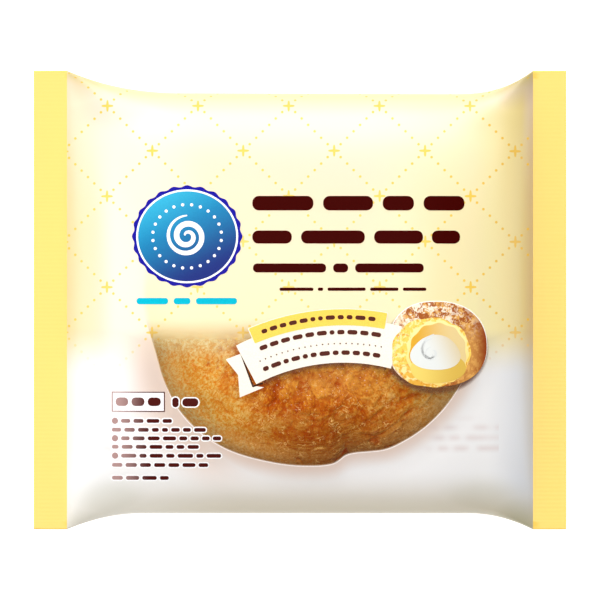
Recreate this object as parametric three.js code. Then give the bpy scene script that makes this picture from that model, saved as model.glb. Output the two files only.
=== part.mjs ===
// A cream puff in its sealed pillow pack, lying on its back with the printed front up.
// The pack is one tube of thin film: it is closed flat across both ends, a folded fin
// runs along its back, and the gas and the puff inside swell it between the two ends.
// Millimetres. +X runs along the pack to its right-hand end seal, +Y runs to the upper
// edge of the front, +Z is up. The origin is the middle of the underside.
import * as THREE from "three";
import { mergeVertices } from "three/addons/utils/BufferGeometryUtils.js";

// ---- driving dimensions ----
const PACK_LENGTH = 144; // over both end seals
const FLAT_WIDTH = 124; // of the tube where it is closed flat
const PACK_THICKNESS = 38; // puff, gas and film
const SEAL_WIDTH = 9; // of each flat end band
const SEAL_THICKNESS = 0.6;
const SEAL_HEIGHT = 14; // of the end bands above the table
const SIDE_LIFT = 3; // the long sides lie this much higher than the end bands
const TABLE_DIP = 3; // how far the belly would hang below the table if nothing pressed it flat
const PRESS_BLEND = 1.5; // over which the pressed flat runs into the belly's curve

// How the front and the back swell behind an end seal: full after run.
const FRONT_SWELL = { run: 42, power: 3 };
const BACK_SWELL = { run: 50, power: 2.5 };

// Superellipse powers of the cross section, across the pack and through its thickness.
const FRONT_SECTION = { across: 2.3, through: 1.8 };
const BACK_SECTION = { across: 2, through: 1.8 };

// The puff's crown holds the front film up a little more in the middle.
const CROWN_LIFT = 1.2;
const CROWN_RADIUS = 30;

// How far each long side draws in from the flat width, over which run from its end seal.
const UPPER_SIDE = {
  left: { inset: 6, run: 32, power: 2.3 },
  right: { inset: 6.4, run: 22, power: 2.6 },
};
const LOWER_SIDE = {
  left: { inset: 4.4, run: 20, power: 1.9 },
  right: { inset: 4.4, run: 17.5, power: 2 },
};

// Soft hollows in the front where each corner of the tube folds down into its seal.
const CORNER_HOLLOWS = [
  { x: -50, y: 52, depth: 1.6, reachX: 11, reachY: 6 },
  { x: 51, y: 50, depth: 1.2, reachX: 9, reachY: 7 },
  { x: -51, y: -54, depth: 1.8, reachX: 10, reachY: 6 },
  { x: 49, y: -54, depth: 1.8, reachX: 11, reachY: 6 },
];

// The fin seal, folded flat along the back. It is proud wherever the back isn't pressed.
const FIN_FOLD_Y = 2; // its folded edge
const FIN_FREE_Y = 13; // its free edge
const FIN_THICKNESS = 0.5;
const FIN_EDGE = 0.3; // width over which each of its edges steps down

// ---- resolution ----
const FRONT_COLUMNS = 36; // between the two long sides
const BACK_COLUMNS = 32;
const BODY_STEPS = 44; // between the two end seals
const STEP_CROWDING = 0.6; // 0 spaces the steps evenly, 1 crowds them at the end seals

const HALF_LENGTH = PACK_LENGTH / 2;
const HALF_BODY = HALF_LENGTH - SEAL_WIDTH;
const HALF_FLAT = FLAT_WIDTH / 2;
const HALF_FILM = SEAL_THICKNESS / 2;

const { clamp, lerp } = THREE.MathUtils;

// 0 at an end seal, 1 once the distance from it has passed the run.
function easeFromSeal(distance, { run, power }) {
  return 1 - (1 - clamp(distance / run, 0, 1)) ** power;
}

// The same for a point at x, from both end seals at once.
function easeFromBothSeals(x, left, right) {
  return (
    easeFromSeal(HALF_BODY + x, left) * easeFromSeal(HALF_BODY - x, right)
  );
}

// Distance from the middle line to a long side.
function halfWidth(x, side) {
  const along = clamp((x + HALF_BODY) / (2 * HALF_BODY), 0, 1);
  const inset = lerp(side.left.inset, side.right.inset, along);
  return HALF_FLAT - inset * easeFromBothSeals(x, side.left, side.right);
}

function sideHeight(x) {
  const swell = easeFromBothSeals(x, FRONT_SWELL, FRONT_SWELL);
  return SEAL_HEIGHT + SIDE_LIFT * swell;
}

// How full the section is at a share of its half width: 1 in the middle, 0 at the side.
function fullness(share, { across, through }) {
  return (1 - clamp(Math.abs(share), 0, 1) ** across) ** (1 / through);
}

function cornerHollow(x, y) {
  let depth = 0;
  for (const hollow of CORNER_HOLLOWS) {
    const along = (x - hollow.x) / hollow.reachX;
    const across = (y - hollow.y) / hollow.reachY;
    depth += hollow.depth * Math.exp(-(along ** 2) - across ** 2);
  }
  return depth;
}

// Height of the front film's middle surface.
function frontHeight(x, y, full) {
  const swell = easeFromBothSeals(x, FRONT_SWELL, FRONT_SWELL);
  const side = sideHeight(x);
  const crown = CROWN_LIFT * Math.exp(-(x * x + y * y) / CROWN_RADIUS ** 2);
  const rise = PACK_THICKNESS - HALF_FILM - CROWN_LIFT - side;
  return side + (rise * full + crown - cornerHollow(x, y) * full) * swell;
}

// Zero below the table, the height itself well above it, and smooth in between.
function pressed(height) {
  if (height < -PRESS_BLEND) return 0;
  if (height > PRESS_BLEND) return height;
  return (height + PRESS_BLEND) ** 2 / (4 * PRESS_BLEND);
}

// Height of the back film's outside, lowered by the fin where the fin lies on it.
function backHeight(x, full, fin) {
  const swell = easeFromBothSeals(x, BACK_SWELL, BACK_SWELL);
  const side = sideHeight(x);
  const middle = pressed(side - (side + TABLE_DIP) * full * swell);
  return Math.max(0, middle - HALF_FILM - fin);
}

// X of each ring of the tube, from the left-hand end to the right-hand end.
function ringPositions() {
  const xs = [-HALF_LENGTH];
  for (let i = 0; i <= BODY_STEPS; i++) {
    const along = (2 * i) / BODY_STEPS - 1;
    const crowded = Math.sin((along * Math.PI) / 2);
    xs.push(HALF_BODY * lerp(along, crowded, STEP_CROWDING));
  }
  xs.push(HALF_LENGTH);
  return xs;
}

// Columns of points round the tube, from the upper side over the front to the lower side
// and back underneath. A column keeps a share of the half width; the fin's keep their y.
function columnsRound() {
  const columns = [];
  for (let i = 0; i < FRONT_COLUMNS; i++) {
    const cos = Math.cos((Math.PI * i) / FRONT_COLUMNS);
    const share = Math.sign(cos) * Math.abs(cos) ** (2 / FRONT_SECTION.across);
    columns.push({ front: true, share, film: i === 0 ? 0 : HALF_FILM });
  }
  const finColumns = [
    { y: FIN_FOLD_Y - FIN_EDGE / 2, fin: 0 },
    { y: FIN_FOLD_Y + FIN_EDGE / 2, fin: FIN_THICKNESS },
    { y: (FIN_FOLD_Y + FIN_FREE_Y) / 2, fin: FIN_THICKNESS },
    { y: FIN_FREE_Y - FIN_EDGE / 2, fin: FIN_THICKNESS },
    { y: FIN_FREE_Y + FIN_EDGE / 2, fin: 0 },
  ];
  let finPlaced = false;
  for (let i = 0; i < BACK_COLUMNS; i++) {
    const share = -Math.cos((Math.PI * i) / BACK_COLUMNS);
    const besideFin = share * HALF_FLAT;
    if (besideFin > FIN_FOLD_Y - 1 && besideFin < FIN_FREE_Y + 2) {
      if (!finPlaced) columns.push(...finColumns);
      finPlaced = true;
    } else {
      columns.push({ front: false, share, fin: 0 });
    }
  }
  return columns;
}

function pointOnPack(x, column) {
  if (column.front) {
    const side = column.share > 0 ? UPPER_SIDE : LOWER_SIDE;
    const y = column.share * halfWidth(x, side);
    const full = fullness(column.share, FRONT_SECTION);
    return [x, y, frontHeight(x, y, full) + column.film];
  }
  if (column.share === -1)
    return [x, -halfWidth(x, LOWER_SIDE), sideHeight(x)];
  const side = (column.y ?? column.share) > 0 ? UPPER_SIDE : LOWER_SIDE;
  const width = halfWidth(x, side);
  const share = column.share ?? column.y / width;
  const full = fullness(share, BACK_SECTION);
  return [x, share * width, backHeight(x, full, column.fin)];
}

// The film tube: a closed cylinder along X whose points are moved onto the pack.
function packGeometry() {
  const xs = ringPositions();
  const columns = columnsRound();
  const tube = new THREE.CylinderGeometry(
    1,
    1,
    1,
    columns.length,
    xs.length - 1,
  );
  tube.rotateZ(-Math.PI / 2);
  const points = tube.getAttribute("position");
  for (let i = 0; i < points.count; i++) {
    const ring = Math.round((points.getX(i) + 0.5) * (xs.length - 1));
    const across = points.getY(i);
    const up = points.getZ(i);
    if (Math.hypot(across, up) < 0.5) {
      points.setXYZ(i, xs[ring], 0, SEAL_HEIGHT); // the middle of an end face
      continue;
    }
    const turn = Math.atan2(up, across) / (2 * Math.PI);
    const column = Math.round(turn * columns.length) + columns.length;
    points.setXYZ(i, ...pointOnPack(xs[ring], columns[column % columns.length]));
  }
  tube.deleteAttribute("normal");
  tube.deleteAttribute("uv");
  const closed = mergeVertices(tube, 1e-4);
  closed.computeVertexNormals();
  return closed;
}

const film = new THREE.MeshStandardMaterial({
  color: 0xfff3c4,
  roughness: 0.38,
  metalness: 0,
});

const filmPack = new THREE.Mesh(packGeometry(), film);
filmPack.name = "film_pack";

const creamPuffPack = new THREE.Group();
creamPuffPack.add(filmPack);

export default creamPuffPack;
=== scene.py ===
"""A cream puff in its sealed pillow pack, seen straight from above.

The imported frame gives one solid, the swollen pack. Here it becomes thin printed film
with the real puff inside it, seen through the clear lower half of the front.
Shapes are worked out in millimetres in the frame's own axes, +X to the right-hand end
seal, +Y to the upper edge of the front and +Z up, and are scaled to metres at the end.
"""

import logging  # noqa: E402
import math  # noqa: E402
import random  # noqa: E402
from collections.abc import Callable, Sequence  # noqa: E402
from dataclasses import dataclass, field  # noqa: E402
from enum import Enum  # noqa: E402

import bmesh  # noqa: E402
import bpy  # noqa: E402
import numpy as np  # noqa: E402
from bmesh.types import BMesh, BMFace, BMLayerItem, BMVert  # noqa: E402
from bpy.types import Material, Node, NodeSocket as Socket, Object  # noqa: E402
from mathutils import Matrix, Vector, noise  # noqa: E402


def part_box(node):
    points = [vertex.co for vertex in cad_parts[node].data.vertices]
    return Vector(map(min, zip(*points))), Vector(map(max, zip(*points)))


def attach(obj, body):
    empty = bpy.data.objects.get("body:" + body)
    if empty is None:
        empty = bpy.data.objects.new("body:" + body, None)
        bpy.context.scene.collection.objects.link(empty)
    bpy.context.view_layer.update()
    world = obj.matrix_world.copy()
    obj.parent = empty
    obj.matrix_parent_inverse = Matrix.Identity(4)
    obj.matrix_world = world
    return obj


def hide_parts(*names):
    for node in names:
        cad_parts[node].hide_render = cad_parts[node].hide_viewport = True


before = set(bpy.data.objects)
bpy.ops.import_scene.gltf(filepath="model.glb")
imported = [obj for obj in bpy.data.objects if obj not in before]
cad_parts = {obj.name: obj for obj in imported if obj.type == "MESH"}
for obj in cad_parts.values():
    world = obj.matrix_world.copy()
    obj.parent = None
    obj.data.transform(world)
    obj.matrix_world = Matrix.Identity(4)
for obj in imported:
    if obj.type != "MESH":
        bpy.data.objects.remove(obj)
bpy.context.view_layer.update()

log = logging.getLogger("cream_puff_pack")

MM = 0.001  # metres in a millimetre
BODY = "root"
SOLID = "film_pack"  # the frame's one node

Point = tuple[float, float]
Colour = tuple[float, float, float]
Array = np.ndarray
Tint = Colour | Socket


def srgb(red: int, green: int, blue: int) -> Colour:
    """Linear light of a colour that is given as three numbers from 0 to 255.

    Args:
        red: how much red.
        green: how much green.
        blue: how much blue.

    Returns:
        The same colour for a shader's socket.
    """

    def linear(part: int) -> float:
        """One part of the colour in linear light."""
        share = part / 255
        return share / 12.92 if share <= 0.04045 else ((share + 0.055) / 1.055) ** 2.4

    return linear(red), linear(green), linear(blue)


def smooth(value: Array, low: float, high: float) -> Array:
    """0 below low, 1 above high and an S-curve between them."""
    share = np.clip((value - low) / (high - low), 0, 1)
    return share * share * (3 - 2 * share)


def straight(value: float, low: float, high: float, least: float = 0.0) -> float:
    """From least at low up to 1 at high in a straight line, and level beyond them."""
    return min(max((value - low) / (high - low), least), 1)


# ---- The pack's form ----


@dataclass(frozen=True)
class Ease:
    """How something grows behind an end seal: full once it is run millimetres away."""

    run: float
    power: float

    def at(self, distance: Array) -> Array:
        """0 at the seal, 1 from the run on."""
        return 1 - (1 - np.clip(distance / self.run, 0, 1)) ** self.power


@dataclass(frozen=True)
class Section:
    """A superellipse across the pack."""

    across: float
    through: float

    def fullness(self, share: Array) -> Array:
        """1 in the middle and 0 at the long side, at a share of the half width."""
        inside = 1 - np.clip(np.abs(share), 0, 1) ** self.across
        return inside ** (1 / self.through)


@dataclass(frozen=True)
class LongSide:
    """How far one long side draws in between the end seals."""

    left_inset: float
    left: Ease
    right_inset: float
    right: Ease


@dataclass(frozen=True)
class Hollow:
    """A soft hollow in the front where a corner of the tube folds into its seal."""

    x: float
    y: float
    depth: float
    reach_x: float
    reach_y: float


@dataclass(frozen=True)
class PackForm:
    """The swollen pack: heights of its outer surface over any point of the plan."""

    length: float
    flat_width: float
    thickness: float
    seal_width: float = 9.0
    seal_film: float = 0.6
    seal_height: float = 14.0
    side_lift: float = 3.0
    table_dip: float = 3.0
    press_blend: float = 1.5
    front_swell: Ease = Ease(42, 3)
    back_swell: Ease = Ease(50, 2.5)
    front_section: Section = Section(2.3, 1.8)
    back_section: Section = Section(2, 1.8)
    crown_lift: float = 1.2
    crown_radius: float = 30.0
    upper: LongSide = LongSide(6, Ease(32, 2.3), 6.4, Ease(22, 2.6))
    lower: LongSide = LongSide(4.4, Ease(20, 1.9), 4.4, Ease(17.5, 2))
    hollows: tuple[Hollow, ...] = (
        Hollow(-50, 52, 1.6, 11, 6),
        Hollow(51, 50, 1.2, 9, 7),
        Hollow(-51, -54, 1.8, 10, 6),
        Hollow(49, -54, 1.8, 11, 6),
    )
    fin_fold: float = 2.0
    fin_free: float = 13.0
    fin_rise: float = 0.45
    fin_slope: float = 1.5  # over which the back film rises on to the fin
    side_edge: float = 0.004  # share of the half width where front and back film meet

    @classmethod
    def from_frame(cls) -> "PackForm":
        """The form whose outer sizes are those of the frame's solid."""
        low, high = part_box(SOLID)
        return cls(*(round(side / MM, 3) for side in high - low))

    @property
    def half_body(self) -> float:
        """From the middle to the inner edge of an end seal."""
        return self.length / 2 - self.seal_width

    def between(self, x: Array, left: Ease, right: Ease) -> Array:
        """Growth from both end seals at once."""
        return left.at(self.half_body + x) * right.at(self.half_body - x)

    def half_width(self, x: Array, upper: Array | bool) -> Array:
        """From the middle line to the upper or the lower long side.

        Args:
            x: places along the pack.
            upper: True where the upper side is meant.

        Returns:
            The half widths.
        """
        along = np.clip((x + self.half_body) / (2 * self.half_body), 0, 1)
        widths = []
        for side in (self.upper, self.lower):
            inset = side.left_inset + (side.right_inset - side.left_inset) * along
            grown = self.between(x, side.left, side.right)
            widths.append(self.flat_width / 2 - inset * grown)
        return np.where(upper, *widths)

    def side_height(self, x: Array) -> Array:
        """Height of the long sides above the table."""
        swell = self.between(x, self.front_swell, self.front_swell)
        return self.seal_height + self.side_lift * swell

    def hollow(self, x: Array, y: Array) -> Array:
        """Depth of the corner hollows."""
        depth = np.zeros(np.broadcast(x, y).shape)
        for h in self.hollows:
            along, across = (x - h.x) / h.reach_x, (y - h.y) / h.reach_y
            depth += h.depth * np.exp(-(along**2) - across**2)
        return depth

    def front(self, x: Array, y: Array) -> Array:
        """Height of the front film's outer surface."""
        share = np.abs(y) / self.half_width(x, y > 0)
        full = self.front_section.fullness(share)
        swell = self.between(x, self.front_swell, self.front_swell)
        side = self.side_height(x)
        crown = self.crown_lift * np.exp(-(x**2 + y**2) / self.crown_radius**2)
        rise = self.thickness - self.seal_film / 2 - self.crown_lift - side
        top = side + (rise * full + crown - self.hollow(x, y) * full) * swell
        return top + self.seal_film / 2 * smooth(1 - share, 0, self.side_edge)

    def back(self, x: Array, y: Array) -> Array:
        """Height of the back film's outer surface, raised where the fin lies under it."""
        share = np.abs(y) / self.half_width(x, y > 0)
        full = self.back_section.fullness(share)
        swell = self.between(x, self.back_swell, self.back_swell)
        side = self.side_height(x)
        free = side - (side + self.table_dip) * full * swell
        blend = self.press_blend
        pressed = (np.clip(free, -blend, blend) + blend) ** 2 / (4 * blend)
        under = np.where(free > blend, free, pressed)
        under = under - self.seal_film / 2 * smooth(1 - share, 0, self.side_edge)
        fin = smooth(y, self.fin_fold - self.fin_slope, self.fin_fold)
        fin = fin * (1 - smooth(y, self.fin_free, self.fin_free + self.fin_slope))
        return np.maximum(under, self.fin_rise * fin)


@dataclass(frozen=True)
class PuffPlan:
    """The puff's outline, seen from above: a smooth closed curve with one small dent."""

    centre: Point = (2.8, -0.9)
    knots: tuple[Point, ...] = (  # direction in degrees, radius
        (-180, 44.9), (-171, 44.1), (-163, 43.8), (-152, 44.7), (-140, 45.65),
        (-122, 45.45), (-106, 44.25), (-92, 43.9), (-83.5, 43.8), (-82, 43.7),
        (-80.6, 43.4), (-79, 42.8), (-77.4, 42.2), (-76, 42.0), (-73, 42.15),
        (-68, 43.1), (-63, 44.25), (-55, 44.95), (-44, 45.6), (-28, 46.0),
        (0, 45.6), (40, 44.9), (75, 45.2), (110, 44.6), (145, 45.4),
    )

    def reach(self, turn: float | Array) -> Array:
        """The radius in a direction that is given in degrees."""
        turns = np.array([knot[0] for knot in self.knots])
        radii = np.array([knot[1] for knot in self.knots])
        turns = np.concatenate([turns[-2:] - 360, turns, turns[:3] + 360])
        radii = np.concatenate([radii[-2:], radii, radii[:3]])
        slopes = np.gradient(radii, turns)
        turn = (np.asarray(turn, float) + 180) % 360 - 180
        i = np.searchsorted(turns, turn, "right") - 1
        span = turns[i + 1] - turns[i]
        t = (turn - turns[i]) / span
        bow = (t - 1) ** 2 * t * slopes[i] + (t - 1) * t**2 * slopes[i + 1]
        share = t * t * (3 - 2 * t)
        return radii[i] + (radii[i + 1] - radii[i]) * share + bow * span

    def outside(self, x: Array, y: Array) -> Array:
        """How far points of the plan lie outside the outline, negative inside it."""
        dx, dy = x - self.centre[0], y - self.centre[1]
        return np.hypot(dx, dy) - self.reach(np.degrees(np.arctan2(dy, dx)))


# ---- Mesh and material helpers ----


def plan_of(bm: BMesh) -> tuple[Array, Array]:
    """X and Y of every point of a mesh."""
    return tuple(np.array([vert.co[i] for vert in bm.verts]) for i in (0, 1))


def add_piece(
    name: str, bm: BMesh, finishes: Sequence[Material], sharp_over: float = 180.0
) -> Object:
    """Turns a bmesh in millimetres into a piece of the pack.

    Args:
        name: the piece's name.
        bm: its shape, which is freed.
        finishes: its materials, in slot order.
        sharp_over: edges that bend more than this many degrees stay sharp.

    Returns:
        The piece's object, which rides with the pack.
    """
    bmesh.ops.recalc_face_normals(bm, faces=bm.faces)
    bmesh.ops.scale(bm, vec=(MM, MM, MM), verts=bm.verts)
    for edge in bm.edges:
        if len(edge.link_faces) == 2:
            edge.smooth = math.degrees(edge.calc_face_angle(0)) < sharp_over
    for face in bm.faces:
        face.smooth = True
    mesh = bpy.data.meshes.new(name)
    bm.to_mesh(mesh)
    bm.free()
    for finish in finishes:
        mesh.materials.append(finish)
    piece = bpy.data.objects.new(name, mesh)
    bpy.context.scene.collection.objects.link(piece)
    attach(piece, BODY)
    log.info("%s: %d faces", name, len(mesh.polygons))
    return piece


class Field:
    """A number that varies over a surface. Arithmetic on it adds nodes to its material."""

    def __init__(self, graph: "Graph", socket: Socket) -> None:
        """Takes the output of one of the material's nodes."""
        self.graph = graph
        self.socket = socket

    def __add__(self, other: "Value") -> "Field":
        """The sum."""
        return self.graph.math("ADD", self, other)

    def __sub__(self, other: "Value") -> "Field":
        """The difference."""
        return self.graph.math("SUBTRACT", self, other)

    def __mul__(self, other: "Value") -> "Field":
        """The product."""
        return self.graph.math("MULTIPLY", self, other)

    def __truediv__(self, other: "Value") -> "Field":
        """The quotient."""
        return self.graph.math("DIVIDE", self, other)

    def __pow__(self, power: float) -> "Field":
        """The power."""
        return self.graph.math("POWER", self, power)

    def __abs__(self) -> "Field":
        """The number without its sign."""
        return self.graph.math("ABSOLUTE", self)

    def __gt__(self, limit: float) -> "Field":
        """1 where the number is over a limit and 0 elsewhere."""
        return self.graph.math("GREATER_THAN", self, limit)

    def swing(self, amount: float) -> "Field":
        """Patches from 0 to 1, made to swing about zero by half the amount."""
        return (self - 0.5) * amount

    def ramp(
        self, low: float, high: float, start: float = 0.0, end: float = 1.0, even: bool = False
    ) -> "Field":
        """A number that goes from start to end while this one goes from low to high.

        Args:
            low: where the change starts.
            high: where it ends.
            start: the result at low.
            end: the result at high.
            even: a straight line in place of an S-curve.

        Returns:
            The new number.
        """
        kind = "LINEAR" if even else "SMOOTHSTEP"
        node = self.graph.node("ShaderNodeMapRange", interpolation_type=kind)
        numbers = (self, low, high, start, end)
        for socket, number in zip(node.inputs[:5], numbers, strict=True):
            self.graph.feed(socket, number)
        return Field(self.graph, node.outputs[0])


Value = float | Field


def most(first: Field, *others: Value) -> Field:
    """The greatest of some numbers at each place."""
    for other in others:
        first = first.graph.math("MAXIMUM", first, other)
    return first


def hypot(first: Field, second: Field) -> Field:
    """The long side of a right triangle."""
    return first.graph.math("SQRT", first**2.0 + second**2.0)


class Graph:
    """A material's nodes, with one short call for each kind."""

    def __init__(self, name: str) -> None:
        """Starts an empty material."""
        self.material = bpy.data.materials.new(name)
        self.material.use_nodes = True
        self.tree = self.material.node_tree
        self.tree.nodes.clear()

    def node(self, kind: str, **settings: object) -> Node:
        """Adds a node and sets its own properties."""
        made = self.tree.nodes.new(kind)
        for key, value in settings.items():
            setattr(made, key, value)
        return made

    def feed(self, socket: Socket, value: Value | Tint) -> None:
        """Links a socket, or sets it to a plain number or colour."""
        if isinstance(value, Field):
            value = value.socket
        if isinstance(value, Socket):
            self.tree.links.new(value, socket)
        elif isinstance(value, tuple) and socket.type == "RGBA":
            socket.default_value = (*value, 1.0)
        else:
            socket.default_value = value

    def math(self, operation: str, first: Value, second: Value = 0.0) -> Field:
        """One step of arithmetic."""
        node = self.node("ShaderNodeMath", operation=operation)
        self.feed(node.inputs[0], first)
        self.feed(node.inputs[1], second)
        return Field(self, node.outputs[0])

    def mix(self, share: Value, first: Tint, second: Tint, how: str = "MIX") -> Tint:
        """A blend of two colours."""
        node = self.node("ShaderNodeMix", data_type="RGBA", blend_type=how)
        for index, value in ((0, share), (6, first), (7, second)):
            self.feed(node.inputs[index], value)
        return node.outputs[2]

    def darken(self, share: Value, first: Tint, second: Tint) -> Tint:
        """The first colour, multiplied by the second."""
        return self.mix(share, first, second, "MULTIPLY")

    def scaled(self, place: Socket, scale: tuple[float, float, float]) -> Socket:
        """A place with each of its axes stretched."""
        node = self.node("ShaderNodeMapping")
        self.feed(node.inputs["Vector"], place)
        node.inputs["Scale"].default_value = scale
        return node.outputs[0]

    def place(self) -> Socket:
        """The place on the object in millimetres."""
        return self.scaled(self.node("ShaderNodeTexCoord").outputs["Object"], (1 / MM,) * 3)

    def plan(self) -> tuple[Field, Field]:
        """X and Y of the place on the object in millimetres."""
        return self.parts(self.place())[:2]

    def mapped(self, uv_map: str) -> Socket:
        """The place on one of the mesh's own maps in millimetres."""
        return self.scaled(self.node("ShaderNodeUVMap", uv_map=uv_map).outputs[0], (1 / MM,) * 3)

    def parts(self, place: Socket) -> tuple[Field, Field, Field]:
        """The three numbers of a place."""
        node = self.node("ShaderNodeSeparateXYZ")
        self.feed(node.inputs[0], place)
        x, y, z = (Field(self, socket) for socket in node.outputs)
        return x, y, z

    def attribute(self, name: str) -> Field:
        """A number stored at the mesh's points."""
        return Field(self, self.node("ShaderNodeAttribute", attribute_name=name).outputs["Fac"])

    def clouds(
        self, place: Socket, size: float, detail: float = 2, rough: float = 0.5, twist: float = 0
    ) -> Field:
        """Soft random patches, from 0 to 1.

        Args:
            place: where they are read.
            size: of the patches, in the place's units.
            detail: how many finer layers they have.
            rough: how strong the finer layers are.
            twist: how much they are bent.

        Returns:
            The patches.
        """
        node = self.node("ShaderNodeTexNoise")
        self.feed(node.inputs["Vector"], place)
        node.inputs["Scale"].default_value = 1 / size
        node.inputs["Detail"].default_value = detail
        node.inputs["Roughness"].default_value = rough
        node.inputs["Distortion"].default_value = twist
        return Field(self, node.outputs["Fac"])

    def veins(self, place: Socket, size: float, width: float, twist: float) -> Field:
        """Thin wandering lines, where soft patches cross their middle value.

        Args:
            place: where they are read.
            size: of the patches whose edges the lines are.
            width: of a line, as a share of the patches' swing.
            twist: how much the lines wind.

        Returns:
            1 on a line and 0 off it.
        """
        return abs(self.clouds(place, size, 2.0, 0.5, twist) - 0.5).ramp(0.0, width, 1, 0)

    def bump(self, height: Field, depth: float) -> Socket:
        """A normal for relief of the given depth in metres."""
        node = self.node("ShaderNodeBump")
        node.inputs["Strength"].default_value = 1.0
        node.inputs["Distance"].default_value = depth
        self.feed(node.inputs["Height"], height)
        return node.outputs[0]

    def principled(self, colour: Tint, rough: Value, **sockets: Value | Tint) -> Socket:
        """A Principled shader.

        Args:
            colour: its base colour.
            rough: its roughness.
            **sockets: other sockets by name, with _ for a space.

        Returns:
            The shader.
        """
        node = self.node("ShaderNodeBsdfPrincipled")
        self.feed(node.inputs["Base Color"], colour)
        self.feed(node.inputs["Roughness"], rough)
        for key, value in sockets.items():
            self.feed(node.inputs[key.replace("_", " ")], value)
        return node.outputs[0]

    def blend(self, share: Value, first: Socket, second: Socket) -> Socket:
        """A mix of two shaders."""
        node = self.node("ShaderNodeMixShader")
        for socket, value in zip(node.inputs, (share, first, second), strict=True):
            self.feed(socket, value)
        return node.outputs[0]

    def finish(self, shader: Socket) -> Material:
        """Ends the material in this shader."""
        self.feed(self.node("ShaderNodeOutputMaterial").inputs["Surface"], shader)
        return self.material

    def print_in(self, colour: Tint, gloss: float = 0.45, shine: float = 0.1) -> Material:
        """Ends the material in printed ink of this colour."""
        return self.finish(self.principled(colour, gloss, Specular_IOR_Level=shine))


# ---- Finishes ----


@dataclass(frozen=True)
class Lattice:
    """The print's diamond lattice: small crosses with dotted lines between them."""

    pitch: float = 24.45  # from cross to cross in a row
    cross_x: float = -51.95  # one cross of the lattice
    cross_y: float = 52.37
    dots: int = 7  # steps from a cross to its neighbour, with a dot at each between
    dot_radius: float = 0.36
    arm_length: float = 1.6
    arm_width: float = 0.34
    arm_power: float = 2.6
    dot_edge: float = 0.05  # half the softness of a dot's outline
    arm_edge: float = 0.25  # the same of a cross, as a share of its power sum

    def ink(self, x: Field, v: Field) -> Field:
        """How much lattice ink there is at a place on the film.

        Args:
            x: place along the pack in millimetres.
            v: place round the tube in millimetres.

        Returns:
            1 on a dot or cross and 0 off it.
        """
        x, v = x - self.cross_x, v - self.cross_y
        rising, falling = (x + v) / self.pitch, (x - v) / self.pitch
        lines = most(self._dotted_line(rising, falling), self._dotted_line(falling, rising))
        return most(lines, self._cross(rising, falling))

    def _off_centre(self, value: Field) -> Field:
        """How far a number is from the nearest whole one, from -0.5 to 0.5."""
        return value.graph.math("FRACT", value + 0.5) - 0.5

    def _dotted_line(self, along: Field, across: Field) -> Field:
        """Dots along the lines of one direction, left out at the crosses."""
        step = self.pitch / math.sqrt(2)
        near = self._off_centre(along * self.dots) * (step / self.dots)
        aside = self._off_centre(across) * step
        low, high = self.dot_radius - self.dot_edge, self.dot_radius + self.dot_edge
        dot = hypot(near, aside).ramp(low, high, 1, 0)
        return dot * (abs(self._off_centre(along)) > 0.5 / self.dots)

    def _cross(self, rising: Field, falling: Field) -> Field:
        """The two tapered arms of each cross."""
        rising, falling = self._off_centre(rising), self._off_centre(falling)
        dx, dv = ((rising + falling) * (self.pitch / 2), (rising - falling) * (self.pitch / 2))
        arms = []
        for along, across in ((dx, dv), (dv, dx)):
            along = (abs(along) / self.arm_length) ** self.arm_power
            across = (abs(across) / self.arm_width) ** self.arm_power
            arms.append((along + across).ramp(1 - self.arm_edge, 1 + self.arm_edge, 1, 0))
        return most(*arms)


@dataclass(frozen=True)
class BackLabel:
    """The back's label: rows of plain bars, seen from inside as faint marks."""

    ink: Colour = srgb(96, 52, 40)
    low: float = -41.3  # edges of the rows, in millimetres
    high: float = -7.0
    reach_x: float = 53.5
    pitch: float = 2.85  # from row to row
    half_bar: float = 0.2  # half a bar's height, as a share of the pitch
    word: float = 3.2  # usual length of a bar
    shuffle: float = 7.3  # from row to row in the patches that give the bars
    cut: float = 0.1  # softness of the label's outline

    def marks(self, graph: Graph, soft: float) -> Field:
        """How much label ink there is at a place.

        Args:
            graph: the film's nodes.
            soft: how blurred the bars are, as a share of the row pitch.

        Returns:
            1 on a bar and 0 off it.
        """
        x, y = graph.plan()
        row = y / self.pitch + 0.5
        level = abs(graph.math("FRACT", row) - 0.5)
        level = level.ramp(self.half_bar - soft / 2, self.half_bar + soft / 2, 1, 0)
        spot = graph.node("ShaderNodeCombineXYZ")
        graph.feed(spot.inputs[0], x / self.word)
        graph.feed(spot.inputs[1], graph.math("FLOOR", row) * self.shuffle)
        bars = graph.clouds(spot.outputs[0], 1.0, 0.0).ramp(0.42 - soft / 4, 0.44 + soft / 4)
        tall = y.ramp(self.low - self.cut, self.low + self.cut) * level
        tall = tall * y.ramp(self.high, self.high + self.cut, 1, 0)
        wide = abs(x).ramp(self.reach_x, self.reach_x + self.cut, 1, 0)
        return tall * wide * bars


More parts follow.
